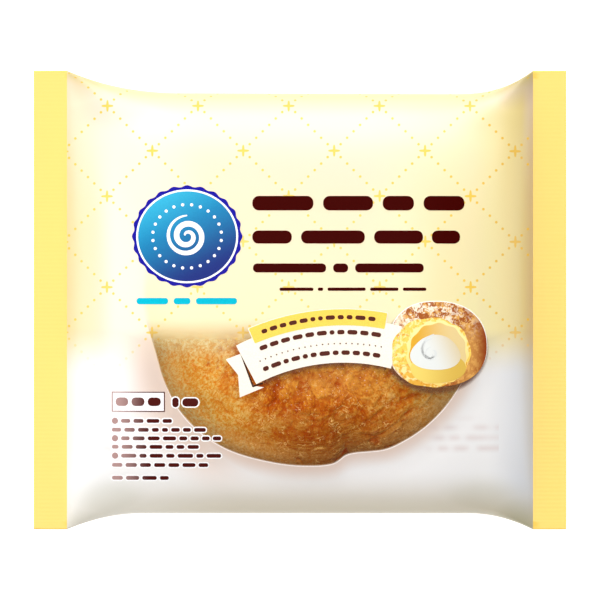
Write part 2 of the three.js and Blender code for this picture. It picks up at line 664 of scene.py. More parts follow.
@dataclass(frozen=True)
class FilmPrint:
    """The outside of the film: cream print that fades to clear, yellow end seals.

    The numbers in its ramps are millimetres: x along the pack, v round the tube from the
    middle of the front, past_side from a long side on round the back, and beside_puff
    from the puff's outline outwards.
    """

    form: PackForm
    lattice: Lattice = Lattice()
    label: BackLabel = BackLabel()
    cream_high: Colour = srgb(252, 231, 212)
    cream_low: Colour = srgb(252, 227, 187)
    pale: Colour = srgb(253, 235, 221)  # painted highlight: a paler band of the print near the left-hand end
    shade: Colour = srgb(251, 229, 158)  # painted shade along the right-hand end and the edges of the front
    painted_light_lemon: Colour = srgb(252, 250, 182)  # painted light: a lemon tint that lifts the right-hand half, where less light falls
    amber: Colour = srgb(253, 237, 184)  # as it looks where it thins out over the puff
    honey: Colour = srgb(253, 228, 142)  # and where it is almost gone: partly the puff's colour through it, partly painted light where the fading print shades the puff
    gold: Colour = srgb(254, 212, 80)
    gold_shade: Colour = srgb(240, 194, 62)
    seal: Colour = srgb(254, 213, 84)
    white: Colour = srgb(252, 252, 252)
    # painted shade: the white ground darker towards the lower side
    lower_shade: Colour = srgb(213, 204, 184)
    # painted shade: the white ground darker towards the right-hand end
    side_shade: Colour = srgb(212, 217, 226)
    puff_bounce: Colour = srgb(238, 216, 202)  # painted bounce light and shade of the puff on the white ground right beside it
    ghost: Colour = srgb(224, 206, 204)  # and where the back's label shows through it
    fold: Colour = srgb(212, 204, 190)  # painted shade where the film bends down to a seal
    tuck: Colour = srgb(206, 208, 188)  # and painted shade where a corner is tucked in
    clear: Colour = srgb(253, 253, 253)
    fade_from: float = -4.2  # over the puff the print is solid above this line
    fade_to: float = -14.2  # and gone below this one
    cream_from: float = -7.0  # beside the puff it starts to turn white at this line
    cream_to: float = -21.0  # and is white below this one
    top_wrap: float = 21.0  # how far the cream runs on round the upper side
    surround: float = 0.8  # density of the thin white ground beside the window
    margin: float = 0.97  # and of the same along the edges of the front
    gloss: float = 0.3
    shine: float = 0.8
    light_through: float = 0.2
    clear_gloss: float = 0.002  # share of light that unprinted film reflects face on
    slant_gloss: float = 0.9  # and how much of it when it is seen from the side
    clear_rough: float = 0.22
    label_edge: float = 0.03  # softness of the label's bars, in row pitches
    ghost_edge: float = 0.8  # and of the marks that they leave on the front
    crimp_pitch: float = 1.1
    crimp_depth: float = 0.006

    def material(self) -> Material:
        """The film's outer finish."""
        graph = Graph("film_outside")
        x, v, _ = graph.parts(graph.mapped("film"))
        past_side = graph.attribute("past_side")
        over_puff = graph.attribute("beside_puff").ramp(-0.8, 0.2, 1, 0)
        is_back = past_side.ramp(-1.0, 1.5)
        is_seal = abs(x).ramp(self.form.half_body - 0.05, self.form.half_body + 0.05)
        cream_left = most(v.ramp(self.cream_to, self.cream_from), over_puff)
        on_top = past_side.ramp(self.top_wrap - 0.1, self.top_wrap + 0.1, 1, 0) * (v > 0.0)
        is_cream = most(on_top, past_side.ramp(-1.0, 1.5, 1, 0)) * cream_left
        cream = self._cream(graph, x, v, past_side)
        ground = graph.mix(is_cream, self._ground(graph, x, past_side), cream)
        # painted shade at the front's corners, sides and hollows
        ground = graph.darken(self._tucked(graph, x, v, past_side), ground, self.tuck)
        label = self.label.marks(graph, self.label_edge) * is_back
        ground = graph.mix(label, ground, self.label.ink)
        ground = graph.mix(is_seal, ground, self.seal)
        density = most(
            v.ramp(self.fade_to, self.fade_from),
            self._surround(graph, past_side),
            cream_left * over_puff.ramp(0, 1, 1, 0),
            is_back,
            is_seal,
        )
        waves = graph.math("SINE", v * (math.tau / self.crimp_pitch))
        ridges = graph.bump(waves * is_seal, self.crimp_depth * MM)
        inked = graph.principled(ground, self.gloss, Normal=ridges, Specular_IOR_Level=self.shine)
        glow = graph.node("ShaderNodeBsdfTranslucent")
        graph.feed(glow.inputs["Color"], ground)
        inked = graph.blend(self.light_through, inked, glow.outputs[0])
        return graph.finish(graph.blend(density, self._unprinted(graph), inked))

    def _tucked(self, graph: Graph, x: Field, v: Field, past_side: Field) -> Field:
        """How much the front is shaded where it bends down at its corners and sides."""
        corner = most(v.ramp(-10, 10, 0.25, 0.7), x.ramp(-10, 10, 0, 0.9))
        corner = abs(x).ramp(46, 61) * past_side.ramp(-14, -2) * corner
        hollow = graph.attribute("folded").ramp(0.1, 1.6, 0, 0.3)
        side = past_side.ramp(-11, -3, 0, 0.3)
        return most(hollow, corner, side) * past_side.ramp(0, 4, 1, 0)

    def _cream(self, graph: Graph, x: Field, v: Field, past_side: Field) -> Tint:
        """The cream print with its lattice, deeper towards the edges of the front."""
        cream = graph.mix(v.ramp(18, 54), self.cream_low, self.cream_high)
        # painted highlight: a paler band near the left-hand end
        cream = graph.mix(x.ramp(-57, -49) * x.ramp(-44, -24, 0.8, 0), cream, self.pale)
        # painted shade along the right-hand end, the left-hand end and the upper side
        right = x.ramp(44, 58) * x.ramp(59.5, 62.5, 1, 0.1) * past_side.ramp(-12, -4, 1, 0.2)
        edges = most(right, x.ramp(-53, -61, 0, 0.25), past_side.ramp(-9, -2, 0, 0.75))
        cream = graph.mix(edges, cream, self.shade)
        over = graph.attribute("beside_puff").ramp(-1.5, 0.5, 0.9, 0)
        cream = graph.mix(over * v.ramp(-12, 24, 1, 0), cream, self.amber)
        # painted light on the right-hand half, where less light falls
        painted_light_lemon = x.ramp(15, 46, 0, 0.45) * v.ramp(50, 56, 1, 0) * x.ramp(50, 57, 1, 0.35)
        cream = graph.mix(painted_light_lemon, cream, self.painted_light_lemon)
        # partly the puff's colour showing through, partly painted light where the fading print
        # shades the puff
        cream = graph.mix(over * v.ramp(-14, -5, 1, 0), cream, self.honey)
        # painted shade where the front bends down to the right-hand seal
        side = x.ramp(52, self.form.half_body, 0, 0.58) * past_side.ramp(0, 4, 1, 0)
        cream = graph.darken(side, cream, self.fold)
        # the lattice's gold under the same painted shade
        gold = graph.mix(right, self.gold, self.gold_shade)
        return graph.mix(self.lattice.ink(x, v), cream, gold)

    def _ground(self, graph: Graph, x: Field, past_side: Field) -> Tint:
        """The thin white ground, with painted bounce light beside the puff and painted shade
        towards the right-hand end and the lower side.
        """
        beside = graph.attribute("beside_puff")
        left = beside.ramp(2, 15, 0.95, 0) * x.ramp(-30, -10, 1, 0)
        # painted bounce light and shade of the puff beside it
        ground = graph.mix(most(beside.ramp(0, 5, 0.95, 0), left), self.white, self.puff_bounce)
        # painted shade towards the right-hand end
        ground = graph.mix(x.ramp(49, 64), ground, self.side_shade)
        # painted shade towards the lower side
        low = past_side.ramp(-16, -3) * x.ramp(-52, -14, 0.6, 1.0)
        ground = graph.mix(low, ground, self.lower_shade)
        ghost = most(x.ramp(32, 38, 0, 0.55), x.ramp(-48, -51, 0, 0.35)) * past_side.ramp(-31, -26)
        return graph.mix(self.label.marks(graph, self.ghost_edge) * ghost, ground, self.ghost)

    def _surround(self, graph: Graph, past_side: Field) -> Field:
        """Density of the thin white ground outside the clear window over the puff."""
        beside = graph.attribute("beside_puff")
        near = beside.ramp(-0.5, -0.05, 0, self.surround)
        far = beside.ramp(1, 9, 0, self.margin - self.surround)
        return most(near + far, past_side.ramp(-13, -6, 0, self.margin))

    def _unprinted(self, graph: Graph) -> Socket:
        """Film without print: see-through, with a light gloss."""
        clear = graph.node("ShaderNodeBsdfTransparent")
        graph.feed(clear.inputs["Color"], self.clear)
        gloss = graph.node("ShaderNodeBsdfGlossy")
        gloss.inputs["Roughness"].default_value = self.clear_rough
        slant = Field(graph, graph.node("ShaderNodeLayerWeight").outputs["Facing"])
        share = slant**5.0 * self.slant_gloss + self.clear_gloss
        return graph.blend(share, clear.outputs[0], gloss.outputs[0])


@dataclass(frozen=True)
class FilmInside:
    """The inside of the film: clear in front, white behind, where the label shows faintly."""

    label: BackLabel = BackLabel()
    white: Colour = srgb(252, 251, 250)
    ghost: Colour = srgb(214, 196, 194)
    ghost_edge: float = 0.3
    ghost_share: float = 0.75

    def material(self) -> Material:
        """The film's inner finish."""
        graph = Graph("film_inside")
        is_back = graph.attribute("past_side").ramp(-1.0, 1.5)
        marks = self.label.marks(graph, self.ghost_edge) * self.ghost_share
        behind = graph.principled(graph.mix(marks, self.white, self.ghost), 0.5)
        clear = graph.node("ShaderNodeBsdfTransparent").outputs[0]
        return graph.finish(graph.blend(is_back, clear, behind))


@dataclass(frozen=True)
class FinFilm:
    """The fin's film: white, with the fine cross lines that the sealing wheels leave."""

    white: Colour = srgb(246, 244, 240)
    line: Colour = srgb(226, 222, 214)
    pitch: float = 1.2  # from line to line
    sealed: Point = (4.0, 12.4)  # outer edges of the crimped strip
    edge: float = 0.4
    depth: float = 0.03
    gloss: float = 0.34

    def material(self) -> Material:
        """The fin's finish."""
        graph = Graph("film_fin")
        x, y = graph.plan()
        waves = graph.math("SINE", x * (math.tau / self.pitch))
        low, high = self.sealed
        sealed = y.ramp(low, low + self.edge) * y.ramp(high - self.edge, high, 1, 0)
        colour = graph.mix(waves.ramp(0.2, 0.9) * sealed, self.white, self.line)
        ridges = graph.bump(waves * sealed, self.depth * MM)
        return graph.finish(graph.principled(colour, self.gloss, Normal=ridges))


@dataclass(frozen=True)
class CrustTones:
    """One part of the crust: its dark, middle and light tones."""

    dark: Colour
    middle: Colour
    light: Colour

    def tone(self, level: Field) -> Tint:
        """The tone at a level from 0 for dark to 1 for light."""
        low = level.graph.mix(level.ramp(0.12, 0.5, even=True), self.dark, self.middle)
        return level.graph.mix(level.ramp(0.5, 0.9, even=True), low, self.light)


@dataclass(frozen=True)
class Oval:
    """A soft oval patch of the crust."""

    centre: Point
    half_x: float
    half_y: float

    def share(self, x: Field, y: Field) -> Field:
        """1 about the centre, fading to 0 a little outside the oval."""
        dx = (x - self.centre[0]) / self.half_x
        dy = (y - self.centre[1]) / self.half_y
        return hypot(dx, dy).ramp(0.25, 1.25, 1, 0)


@dataclass(frozen=True)
class ChouxCrust:
    """Baked choux: golden at its sides, deep orange on its crown, browner lower right; with painted
    light and shade.
    """

    golden: CrustTones = CrustTones(srgb(222, 128, 26), srgb(225, 160, 57), srgb(232, 194, 112))
    orange: CrustTones = CrustTones(srgb(180, 73, 2), srgb(204, 106, 6), srgb(230, 148, 40))
    brown: CrustTones = CrustTones(srgb(162, 78, 6), srgb(181, 107, 24), srgb(204, 140, 60))
    # rim and rim_light: the rim's tones, lightened as painted light against the shade of its steep
    # sides
    rim: CrustTones = CrustTones(srgb(180, 104, 32), srgb(208, 142, 70), srgb(230, 180, 114))
    rim_light: CrustTones = CrustTones(srgb(244, 178, 88), srgb(250, 204, 120), srgb(252, 230, 168))
    # painted light: paler tones under the print, against the print's shadow
    under_print_light: CrustTones = CrustTones(srgb(228, 174, 94), srgb(237, 207, 138), srgb(247, 231, 184))
    low: Colour = srgb(226, 220, 214)  # painted shade that darkens the lowest part
    # painted shade along the edge of the rim on the browner side
    rim_shade_line: Colour = srgb(166, 92, 24)
    crevice: Colour = srgb(176, 70, 2)
    furrow: Colour = srgb(150, 60, 2)
    fibre: Colour = srgb(252, 208, 128)
    # painted glints: pale specks on the crown
    glint: Colour = srgb(255, 244, 222)
    # painted highlight on the crown's palest part
    glow: Colour = srgb(240, 170, 74)
    highlight_spot: Oval = Oval((8.0, -20.0), 17.0, 8.0)  # painted highlight on the crown's palest part
    # painted shade below the crown
    deep: Colour = srgb(218, 196, 165)
    shade_spot: Oval = Oval((6.0, -34.0), 23.0, 8.0)  # painted shade below the crown
    orange_at: Point = (5.0, -14.0)  # middle of the orange crown
    orange_from: float = 15.0  # distances from it over which the orange ends
    orange_to: float = 33.0
    under_print_span: Point = (-17.5, -10.0)  # y over which the crust is painted lighter under the print, painted light against the print's shadow
    depth: float = 0.26
    shine: float = 0.07

    def material(self) -> Material:
        """The crust's finish."""
        graph = Graph("choux_crust")
        place = graph.place()
        x, y, _ = graph.parts(place)
        skin = graph.mapped("skin")
        rim = graph.attribute("rim")
        relief = graph.attribute("relief")
        patches = graph.clouds(place, 5.0, 3.0, 0.55, 0.5)
        mottle = graph.clouds(place, 0.95, 4.0, 0.7, 0.8)
        rays = graph.clouds(graph.scaled(skin, (1.6, 0.5, 1.0)), 0.9, 3.0, 0.65, 0.4)
        crown = self._crown(x, y, patches)
        slant = x * 0.2 - y + patches.swing(16.0)
        away = slant.ramp(27, 46)
        calm = most(crown, away).ramp(0, 1, 2.9, 2.1) * away.ramp(0, 1, 1.0, 0.65)
        level = (mottle.swing(1.0) + rays.swing(0.7)) * calm + 0.5
        level = level + patches.swing(1.0) * crown.ramp(0, 1, 1.1, 2.2)
        colour = self._baked(graph, (x, y), rim, (crown, away, patches), level)
        colour = self._wrinkles(graph, skin, away, rim, colour)
        colour = self._veins(graph, place, crown, patches, colour)
        # darker in the relief's crevices and paler on its ridges: partly the crust's colour, partly
        # painted shade and painted highlight
        colour = graph.mix(relief.ramp(0.0, 0.44, 0.9, 0), colour, self.crevice)
        colour = graph.mix(relief.ramp(0.62, 0.95, 0, 0.35), colour, self.fibre)
        # painted shade along the edge of the rim on the browner side
        colour = graph.mix(rim.ramp(0.15, 0.7, 0.5, 0) * away, colour, self.rim_shade_line)
        # painted glints on small specks, which are also glossier
        specks = graph.clouds(place, 0.55, 1.0).ramp(0.7, 0.76) * rim.ramp(12, 22, 0, 0.65)
        colour = graph.mix(specks, colour, self.glint)
        rise = mottle.swing(1.0) + rays.swing(1.3) + patches.swing(2.5)
        normal = graph.bump(rise * slant.ramp(8, 32, 0.2, 0.7), self.depth * MM)
        rough = specks.ramp(0.0, 0.5, 0.55, 0.25)
        shader = graph.principled(colour, rough, Normal=normal, Specular_IOR_Level=self.shine)
        return graph.finish(shader)

    def _crown(self, x: Field, y: Field, patches: Field) -> Field:
        """How orange the crust is: most in a wide round about the crown."""
        far = hypot(x - self.orange_at[0], y - self.orange_at[1]) + patches.swing(22.0)
        return far.ramp(self.orange_from, self.orange_to, 1, 0)

    def _baked(
        self,
        graph: Graph,
        plan: tuple[Field, Field],
        rim: Field,
        zones: tuple[Field, Field, Field],
        level: Field,
    ) -> Tint:
        """The crust's broad colour, with its painted light and shade but without its fine marks.

        Args:
            graph: the crust's nodes.
            plan: place in millimetres, seen from above.
            rim: how far inside the outline it is.
            zones: how far it belongs to the crown and to the browner side, and the
                soft patches that break up their edges.
            level: how light it is within its tones.

        Returns:
            The colour.
        """
        x, y = plan
        crown, away, patches = zones
        colour = graph.mix(crown, self.golden.tone(level), self.orange.tone(level))
        colour = graph.mix(away, colour, self.brown.tone(level))
        # painted light: the rim's tones are lightened against the shade of its steep sides
        edge = graph.mix(away, self.rim_light.tone(level), self.rim.tone(level))
        colour = graph.mix((rim + patches.swing(5.0)).ramp(0.5, 7, 0.85, 0), colour, edge)
        # painted highlight on the crown's palest part and painted shade below it
        colour = graph.mix(self.highlight_spot.share(x, y) * 0.52, colour, self.glow)
        colour = graph.darken(self.shade_spot.share(x, y), colour, self.deep)
        # painted shade on the lowest part
        colour = graph.darken(y.ramp(-41, -34, 1, 0) * x.ramp(-10, 2), colour, self.low)
        # painted light: paler tones under the print, against the print's shadow
        return graph.mix(y.ramp(*self.under_print_span), colour, self.under_print_light.tone(level))

    def _wrinkles(self, graph: Graph, skin: Socket, away: Field, rim: Field, colour: Tint) -> Tint:
        """Darker furrows and pale ridges along the rim of the browner side: painted shade and
        painted highlight.
        """
        strokes = graph.clouds(graph.scaled(skin, (0.34, 1.0, 1.0)), 0.95, 2.0, 0.5, 0.8)
        area = away * rim.ramp(1.5, 5)
        colour = graph.mix(strokes.ramp(0.36, 0.46, 0.95, 0) * area, colour, self.furrow)
        return graph.mix(strokes.ramp(0.54, 0.64, 0, 0.7) * area, colour, self.brown.light)

    def _veins(
        self, graph: Graph, place: Socket, crown: Field, patches: Field, colour: Tint
    ) -> Tint:
        """Dark hair cracks and pale torn fibres on the crown."""
        torn = crown * patches.ramp(0.5, 0.62, 1, 0)
        cracks = graph.veins(place, 6.5, 0.022, 1.6) * torn * 0.6
        colour = graph.mix(cracks, colour, self.crevice)
        some = graph.clouds(place, 2.9).ramp(0.48, 0.6, 0, 0.65)
        return graph.mix(graph.veins(place, 2.3, 0.03, 1.2) * some, colour, self.fibre)


@dataclass(frozen=True)
class Ink:
    """Ink on the front film, with the faint grain of print and the film's own gloss."""

    name: str
    colour: Colour
    shine: float = 0.1
    gloss: float = 0.45
    grain: float = 0.05

    def material(self) -> Material:
        """The ink's finish."""
        graph = Graph(self.name)
        speckle = graph.clouds(graph.place(), 0.35, 2.0).ramp(0.35, 0.65)
        darker = tuple(part * (1 - 2 * self.grain) for part in self.colour)
        return graph.print_in(graph.mix(speckle, darker, self.colour), self.gloss, self.shine)


@dataclass(frozen=True)
class BadgeField:
    """The rosette's field: teal, lighter at its upper left and navy lower down."""

    centre: Point
    navy: Colour = srgb(20, 40, 118)
    teal: Colour = srgb(22, 130, 178)
    glow: Colour = srgb(60, 190, 220)
    slant: float = 0.5  # rise of the lines of even colour
    glow_share: float = 0.7

    def material(self) -> Material:
        """The field's finish."""
        graph = Graph("ink_badge")
        place = graph.place()
        x, y, _ = graph.parts(place)
        height = y - x * self.slant
        middle = self.centre[1] - self.slant * self.centre[0]
        colour = graph.mix(height.ramp(middle - 13, middle + 8), self.navy, self.teal)
        high = height.ramp(middle + 2, middle + 17) * self.glow_share
        colour = graph.mix(high, colour, self.glow)
        speckle = graph.clouds(place, 0.35).ramp(0.3, 0.7, 0.94, 1.0)
        tone = graph.node("ShaderNodeCombineColor")
        for socket in tone.inputs:
            graph.feed(socket, speckle)
        return graph.print_in(graph.darken(1.0, colour, tone.outputs[0]), 0.4)


@dataclass(frozen=True)
class PrintedShadow:
    """Brown ink that fades out away from the edge that casts it."""

    name: str
    centre: Point
    clear_at: float
    dark_at: float
    strength: float
    squash: float = 1.0  # under 1 where the edge is an oval wider than it is high
    colour: Colour = srgb(96, 44, 8)

    def material(self) -> Material:
        """The shadow's finish."""
        graph = Graph(self.name)
        x, y = graph.plan()
        far = hypot((x - self.centre[0]) * self.squash, y - self.centre[1])
        share = far.ramp(self.clear_at, self.dark_at, 0, self.strength)
        clear = graph.node("ShaderNodeBsdfTransparent").outputs[0]
        return graph.finish(graph.blend(share, clear, graph.principled(self.colour, 0.5)))


class PictureTone(Enum):
    """Tones of the printed picture, each with its lower and its upper colour."""

    HALO = (srgb(236, 232, 222), srgb(250, 246, 236))
    CRUMB = (srgb(226, 168, 62), srgb(246, 206, 92))
    TORN = (srgb(246, 214, 120), srgb(252, 232, 158))
    HOLLOW = (srgb(222, 166, 46), srgb(228, 202, 142))
    CUSTARD = (srgb(236, 208, 106), srgb(216, 178, 78))
    CREAM = (srgb(226, 228, 224), srgb(218, 196, 148))
    CREAM_FOLD = (srgb(219, 221, 218), srgb(216, 206, 178))


@dataclass(frozen=True)
class PictureInk:
    """A smooth field of the printed picture, with a fine crumb where it is wanted."""

    tone: PictureTone
    low: float  # where the tone starts to change, in millimetres along aim
    high: float
    aim: float = 90.0  # direction of the change, in degrees from +X
    crumb: float = 0.0  # strength of the crumb
    pit: Colour = srgb(214, 132, 30)
    pale: Colour = srgb(255, 236, 168)

    def material(self, name: str) -> Material:
        """The field's finish."""
        graph = Graph(name)
        place = graph.place()
        x, y, _ = graph.parts(place)
        aim = math.radians(self.aim)
        along = y * math.sin(aim) + x * math.cos(aim)
        colour = graph.mix(along.ramp(self.low, self.high), *self.tone.value)
        if self.crumb:
            pits = graph.clouds(place, 0.9, 3.0, 0.6).ramp(0.52, 0.64, 0, self.crumb)
            colour = graph.mix(pits, colour, self.pit)
            pale = graph.clouds(place, 1.3, 3.0, 0.6, 0.5).ramp(0.4, 0.5, self.crumb, 0)
            colour = graph.mix(pale, colour, self.pale)
        return graph.print_in(colour)


@dataclass(frozen=True)
class PictureCrust:
    """The picture's crust: golden, dusted and browned on top, dark at its right edge."""

    golden: Colour = srgb(220, 162, 84)
    edge: Colour = srgb(140, 58, 14)
    browned: Colour = srgb(162, 86, 34)
    dust: Colour = srgb(248, 232, 208)

    def material(self, name: str) -> Material:
        """The crust's finish."""
        graph = Graph(name)
        place = graph.place()
        x, y, _ = graph.parts(place)
        colour = graph.mix(x.ramp(25, 29), self.dust, self.golden)
        streaks = graph.clouds(graph.scaled(place, (1.0, 0.6, 1.0)), 1.2, 4.0, 0.65, 0.6)
        colour = graph.mix(streaks.ramp(0.36, 0.48, 0.45, 0), colour, self.browned)
        top = y.ramp(-12, -5)
        spotted = most(top, y.ramp(-22.5, -18, 1, 0) * x.ramp(40, 47, 1, 0), 0.45)
        spots = graph.clouds(place, 1.9, 4.0, 0.7).ramp(0.45, 0.53)
        colour = graph.mix(spots * spotted, colour, self.browned)
        dusted = top * x.ramp(38, 47, 1, 0.3)
        dust = graph.clouds(place, 1.6, 4.0, 0.75, 1.0).ramp(0.47, 0.56)
        colour = graph.mix(dust * dusted, colour, self.dust)
        return graph.print_in(graph.mix(x.ramp(46, 50.2), colour, self.edge))


@dataclass(frozen=True)
class NoteInk:
    """The notes' ink: rosy brown at the left end, a painted highlight, and dark beyond."""

    # painted highlight: the paler ink at the left-hand end
    thin: Colour = srgb(170, 136, 132)
    full: Colour = srgb(72, 10, 4)
    highlight_fade: Point = (-50.0, -40.0)  # the places between which the painted highlight fades

    def material(self) -> Material:
        """The ink's finish."""
        graph = Graph("ink_notes")
        x, _ = graph.plan()
        return graph.print_in(graph.mix(x.ramp(*self.highlight_fade), self.thin, self.full), 0.4)


# ---- The film ----


@dataclass
class Wrapper:
    """The film tube, with its seals: a closed thin wall over the whole pack."""

    form: PackForm
    rings: int = 132  # steps between the end seals
    seal_rings: int = 4  # steps across each end seal
    front_steps: int = 128
    back_steps: int = 120
    crowding: float = 0.45
    wall: float = 0.1
    seam: float = 7.5  # the tube's own seam lies under the middle of the fin
    steep_from: float = 0.7  # slopes from which the plan starts to leave out length
    steep_to: float = 2.0
    fine_steps: int = 2000  # for measuring along the film

    def build(self) -> None:
        """Makes the film and lets it stand for the frame's solid."""
        bm = bmesh.new()
        xs = self._ring_places()
        columns = self._columns()
        uv = bm.loops.layers.uv.new("film")
        past = bm.verts.layers.float.new("past_side")
        beside = bm.verts.layers.float.new("beside_puff")
        folded = bm.verts.layers.float.new("folded")
        steps = len(columns[0]) - 1
        bmesh.ops.create_grid(bm, x_segments=len(xs) - 1, y_segments=steps, size=0.5)
        self._bend(bm, xs, columns, uv, past)
        x, y = plan_of(bm)
        outside = PuffPlan().outside(x, y)
        for vert, far, fold in zip(bm.verts, outside, self.form.hollow(x, y), strict=True):
            vert[beside] = far
            vert[folded] = fold
        bmesh.ops.remove_doubles(bm, verts=bm.verts, dist=1e-5)
        bmesh.ops.holes_fill(bm, edges=[e for e in bm.edges if e.is_boundary])
        finishes = [FilmPrint(self.form).material(), FilmInside().material()]
        piece = add_piece("film", bm, finishes, sharp_over=28)
        wall = piece.modifiers.new("wall", "SOLIDIFY")
        wall.thickness = self.wall * MM
        wall.offset = -1
        wall.material_offset = 1
        wall.use_rim = False
        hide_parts(SOLID)

    def _ring_places(self) -> Array:
        """X of each ring, closer together towards the end seals."""
        along = np.linspace(-1, 1, self.rings + 1)
        crowded = np.sin(along * math.pi / 2)
        body = self.form.half_body * (along + (crowded - along) * self.crowding)
        seal = np.linspace(self.form.half_body, self.form.length / 2, self.seal_rings + 1)
        return np.concatenate([-seal[::-1], body[1:-1], seal])

    def _columns(self) -> tuple[Array, Array, Array]:
        """Columns round the tube, from the seam up the back, over the front and back.

        Returns:
            For each column its share of the half width, 1 on the front and 0 on the
            back, and the film's length that the plan leaves out up to there.
        """
        seam = self.seam / float(self.form.half_width(np.array(0.0), True))
        shares, fronts, lengths = [], [], []
        for start, end, front, steps in (
            (seam, 1, False, self.back_steps // 2),
            (1, -1, True, self.front_steps),
            (-1, seam, False, self.back_steps // 2),
        ):
            share, hidden = self._even_steps(start, end, front, steps)
            keep = slice(None) if not shares else slice(1, None)
            shares.append(share[keep])
            fronts.append(np.full(len(share), front)[keep])
            lengths.append(hidden[keep])
        return tuple(np.concatenate(parts) for parts in (shares, fronts, lengths))

    def _even_steps(
        self, start: float, end: float, front: bool, steps: int
    ) -> tuple[Array, Array]:
        """Shares of the half width at even steps along the middle section's film.

        Args:
            start: first share.
            end: last share.
            front: True for the front film.
            steps: how many steps.

        Returns:
            The shares, and at each the steep film's extra length measured from the
            middle of that film to it.
        """
        fine = np.linspace(math.asin(start), math.asin(end), self.fine_steps + 1)
        share = np.sin(fine)
        middle = np.zeros_like(share)
        width = self.form.half_width(middle, share > 0)
        y = share * width
        z = (self.form.front if front else self.form.back)(middle, y)
        dy, dz = np.abs(np.diff(y)), np.abs(np.diff(z))
        length = np.concatenate([[0], np.cumsum(np.hypot(dy, dz))])
        even = np.interp(np.linspace(0, length[-1], steps + 1), length, share)
        even[0], even[-1] = start, end
        steep = smooth(dz / np.maximum(dy, 1e-9), self.steep_from, self.steep_to)
        extra = np.concatenate([[0], np.cumsum((np.hypot(dy, dz) - dy) * steep)])
        order = np.argsort(share)
        extra -= np.interp(0.0, share[order], extra[order])
        return even, np.abs(np.interp(even, share[order], extra[order]))

    def _bend(
        self,
        bm: BMesh,
        xs: Array,
        columns: tuple[Array, Array, Array],
        uv: BMLayerItem,
        past: BMLayerItem,
    ) -> None:
        """Moves a flat grid's points onto the pack and stores where they are on the film.

        Args:
            bm: holds the grid.
            xs: where each ring lies.
            columns: as _columns gives them.
            uv: takes the place along and round the film.
            past: takes how far a point is past the long side, round the back.
        """
        share, front, hidden = columns
        last_ring, last_column = len(xs) - 1, len(share) - 1
        x, s = np.meshgrid(xs, share, indexing="ij")
        width = self.form.half_width(x, s > 0)
        y = s * width
        z = np.where(front, self.form.front(x, y), self.form.back(x, y))
        sides = np.abs(s) == 1
        z = np.where(sides, self.form.side_height(x), z)
        side_extra = hidden[front].max()
        back_extra = hidden[~front].max()
        beyond = width - np.abs(y) + back_extra - hidden
        lower_back = (~front) & (np.arange(len(share)) > last_column // 2)
        upper_back = (~front) & ~lower_back
        round_y = np.where(front, np.sign(s) * (np.abs(y) + hidden), 0.0)
        up_width = self.form.half_width(x, True)
        low_width = self.form.half_width(x, False)
        beyond = np.where(lower_back, low_width + y + back_extra, beyond)
        round_y = np.where(upper_back, up_width + side_extra + beyond, round_y)
        round_y = np.where(lower_back, -(low_width + side_extra + beyond), round_y)
        past_side = np.where(front, np.abs(y) + hidden - width - side_extra, beyond)
        for vert in bm.verts:
            i = round((vert.co.x + 0.5) * last_ring)
            j = round((vert.co.y + 0.5) * last_column)
            for loop in vert.link_loops:
                loop[uv].uv = (x[i, j] * MM, round_y[i, j] * MM)
            vert[past] = past_side[i, j]
            vert.co = (x[i, j], y[i, j], z[i, j])


@dataclass
class Fin:
    """The fin seal: the film's two edges, sealed together and folded flat on the back."""

    form: PackForm
    gap: float = 0.04  # between the fin and the film it lies on
    body: float = 0.36  # thickness
    end_gap: float = 0.2  # and between its ends and the end seals
    steps: int = 110
    rows: int = 10

    def build(self) -> None:
        """Makes the fin under the raised strip of the back film."""
        bm = bmesh.new()
        bmesh.ops.create_grid(bm, x_segments=self.steps, y_segments=self.rows, size=0.5)
        fold, free = self.form.fin_fold, self.form.fin_free
        for vert in bm.verts:
            vert.co.x *= 2 * (self.form.half_body - self.end_gap)
            vert.co.y = fold + (free - fold) * (vert.co.y + 0.5)
        under = self.form.back(*plan_of(bm)) - self.gap
        for vert, height in zip(bm.verts, under, strict=True):
            vert.co.z = height
        raised = bmesh.ops.extrude_face_region(bm, geom=bm.faces[:], use_keep_orig=True)
        lower = [item for item in raised["geom"] if isinstance(item, BMVert)]
        bmesh.ops.translate(bm, vec=(0, 0, -self.body), verts=lower)
        add_piece("fin", bm, [FinFilm().material()], sharp_over=40)


# ---- The puff ----


@dataclass(frozen=True)
class Crease:
    """A crack or fold in the crust, from one point of the plan to another."""

    start: Point
    end: Point
    depth: float
    width: float


@dataclass(frozen=True)
class Lumps:
    """Soft random relief, each kind with its own part of the noise."""

    size: float
    height: float
    shift: tuple[float, float, float]

    def at(self, place: Vector) -> float:
        """The height at a place, in millimetres."""
        return self.height * noise.noise(place / self.size + Vector(self.shift))


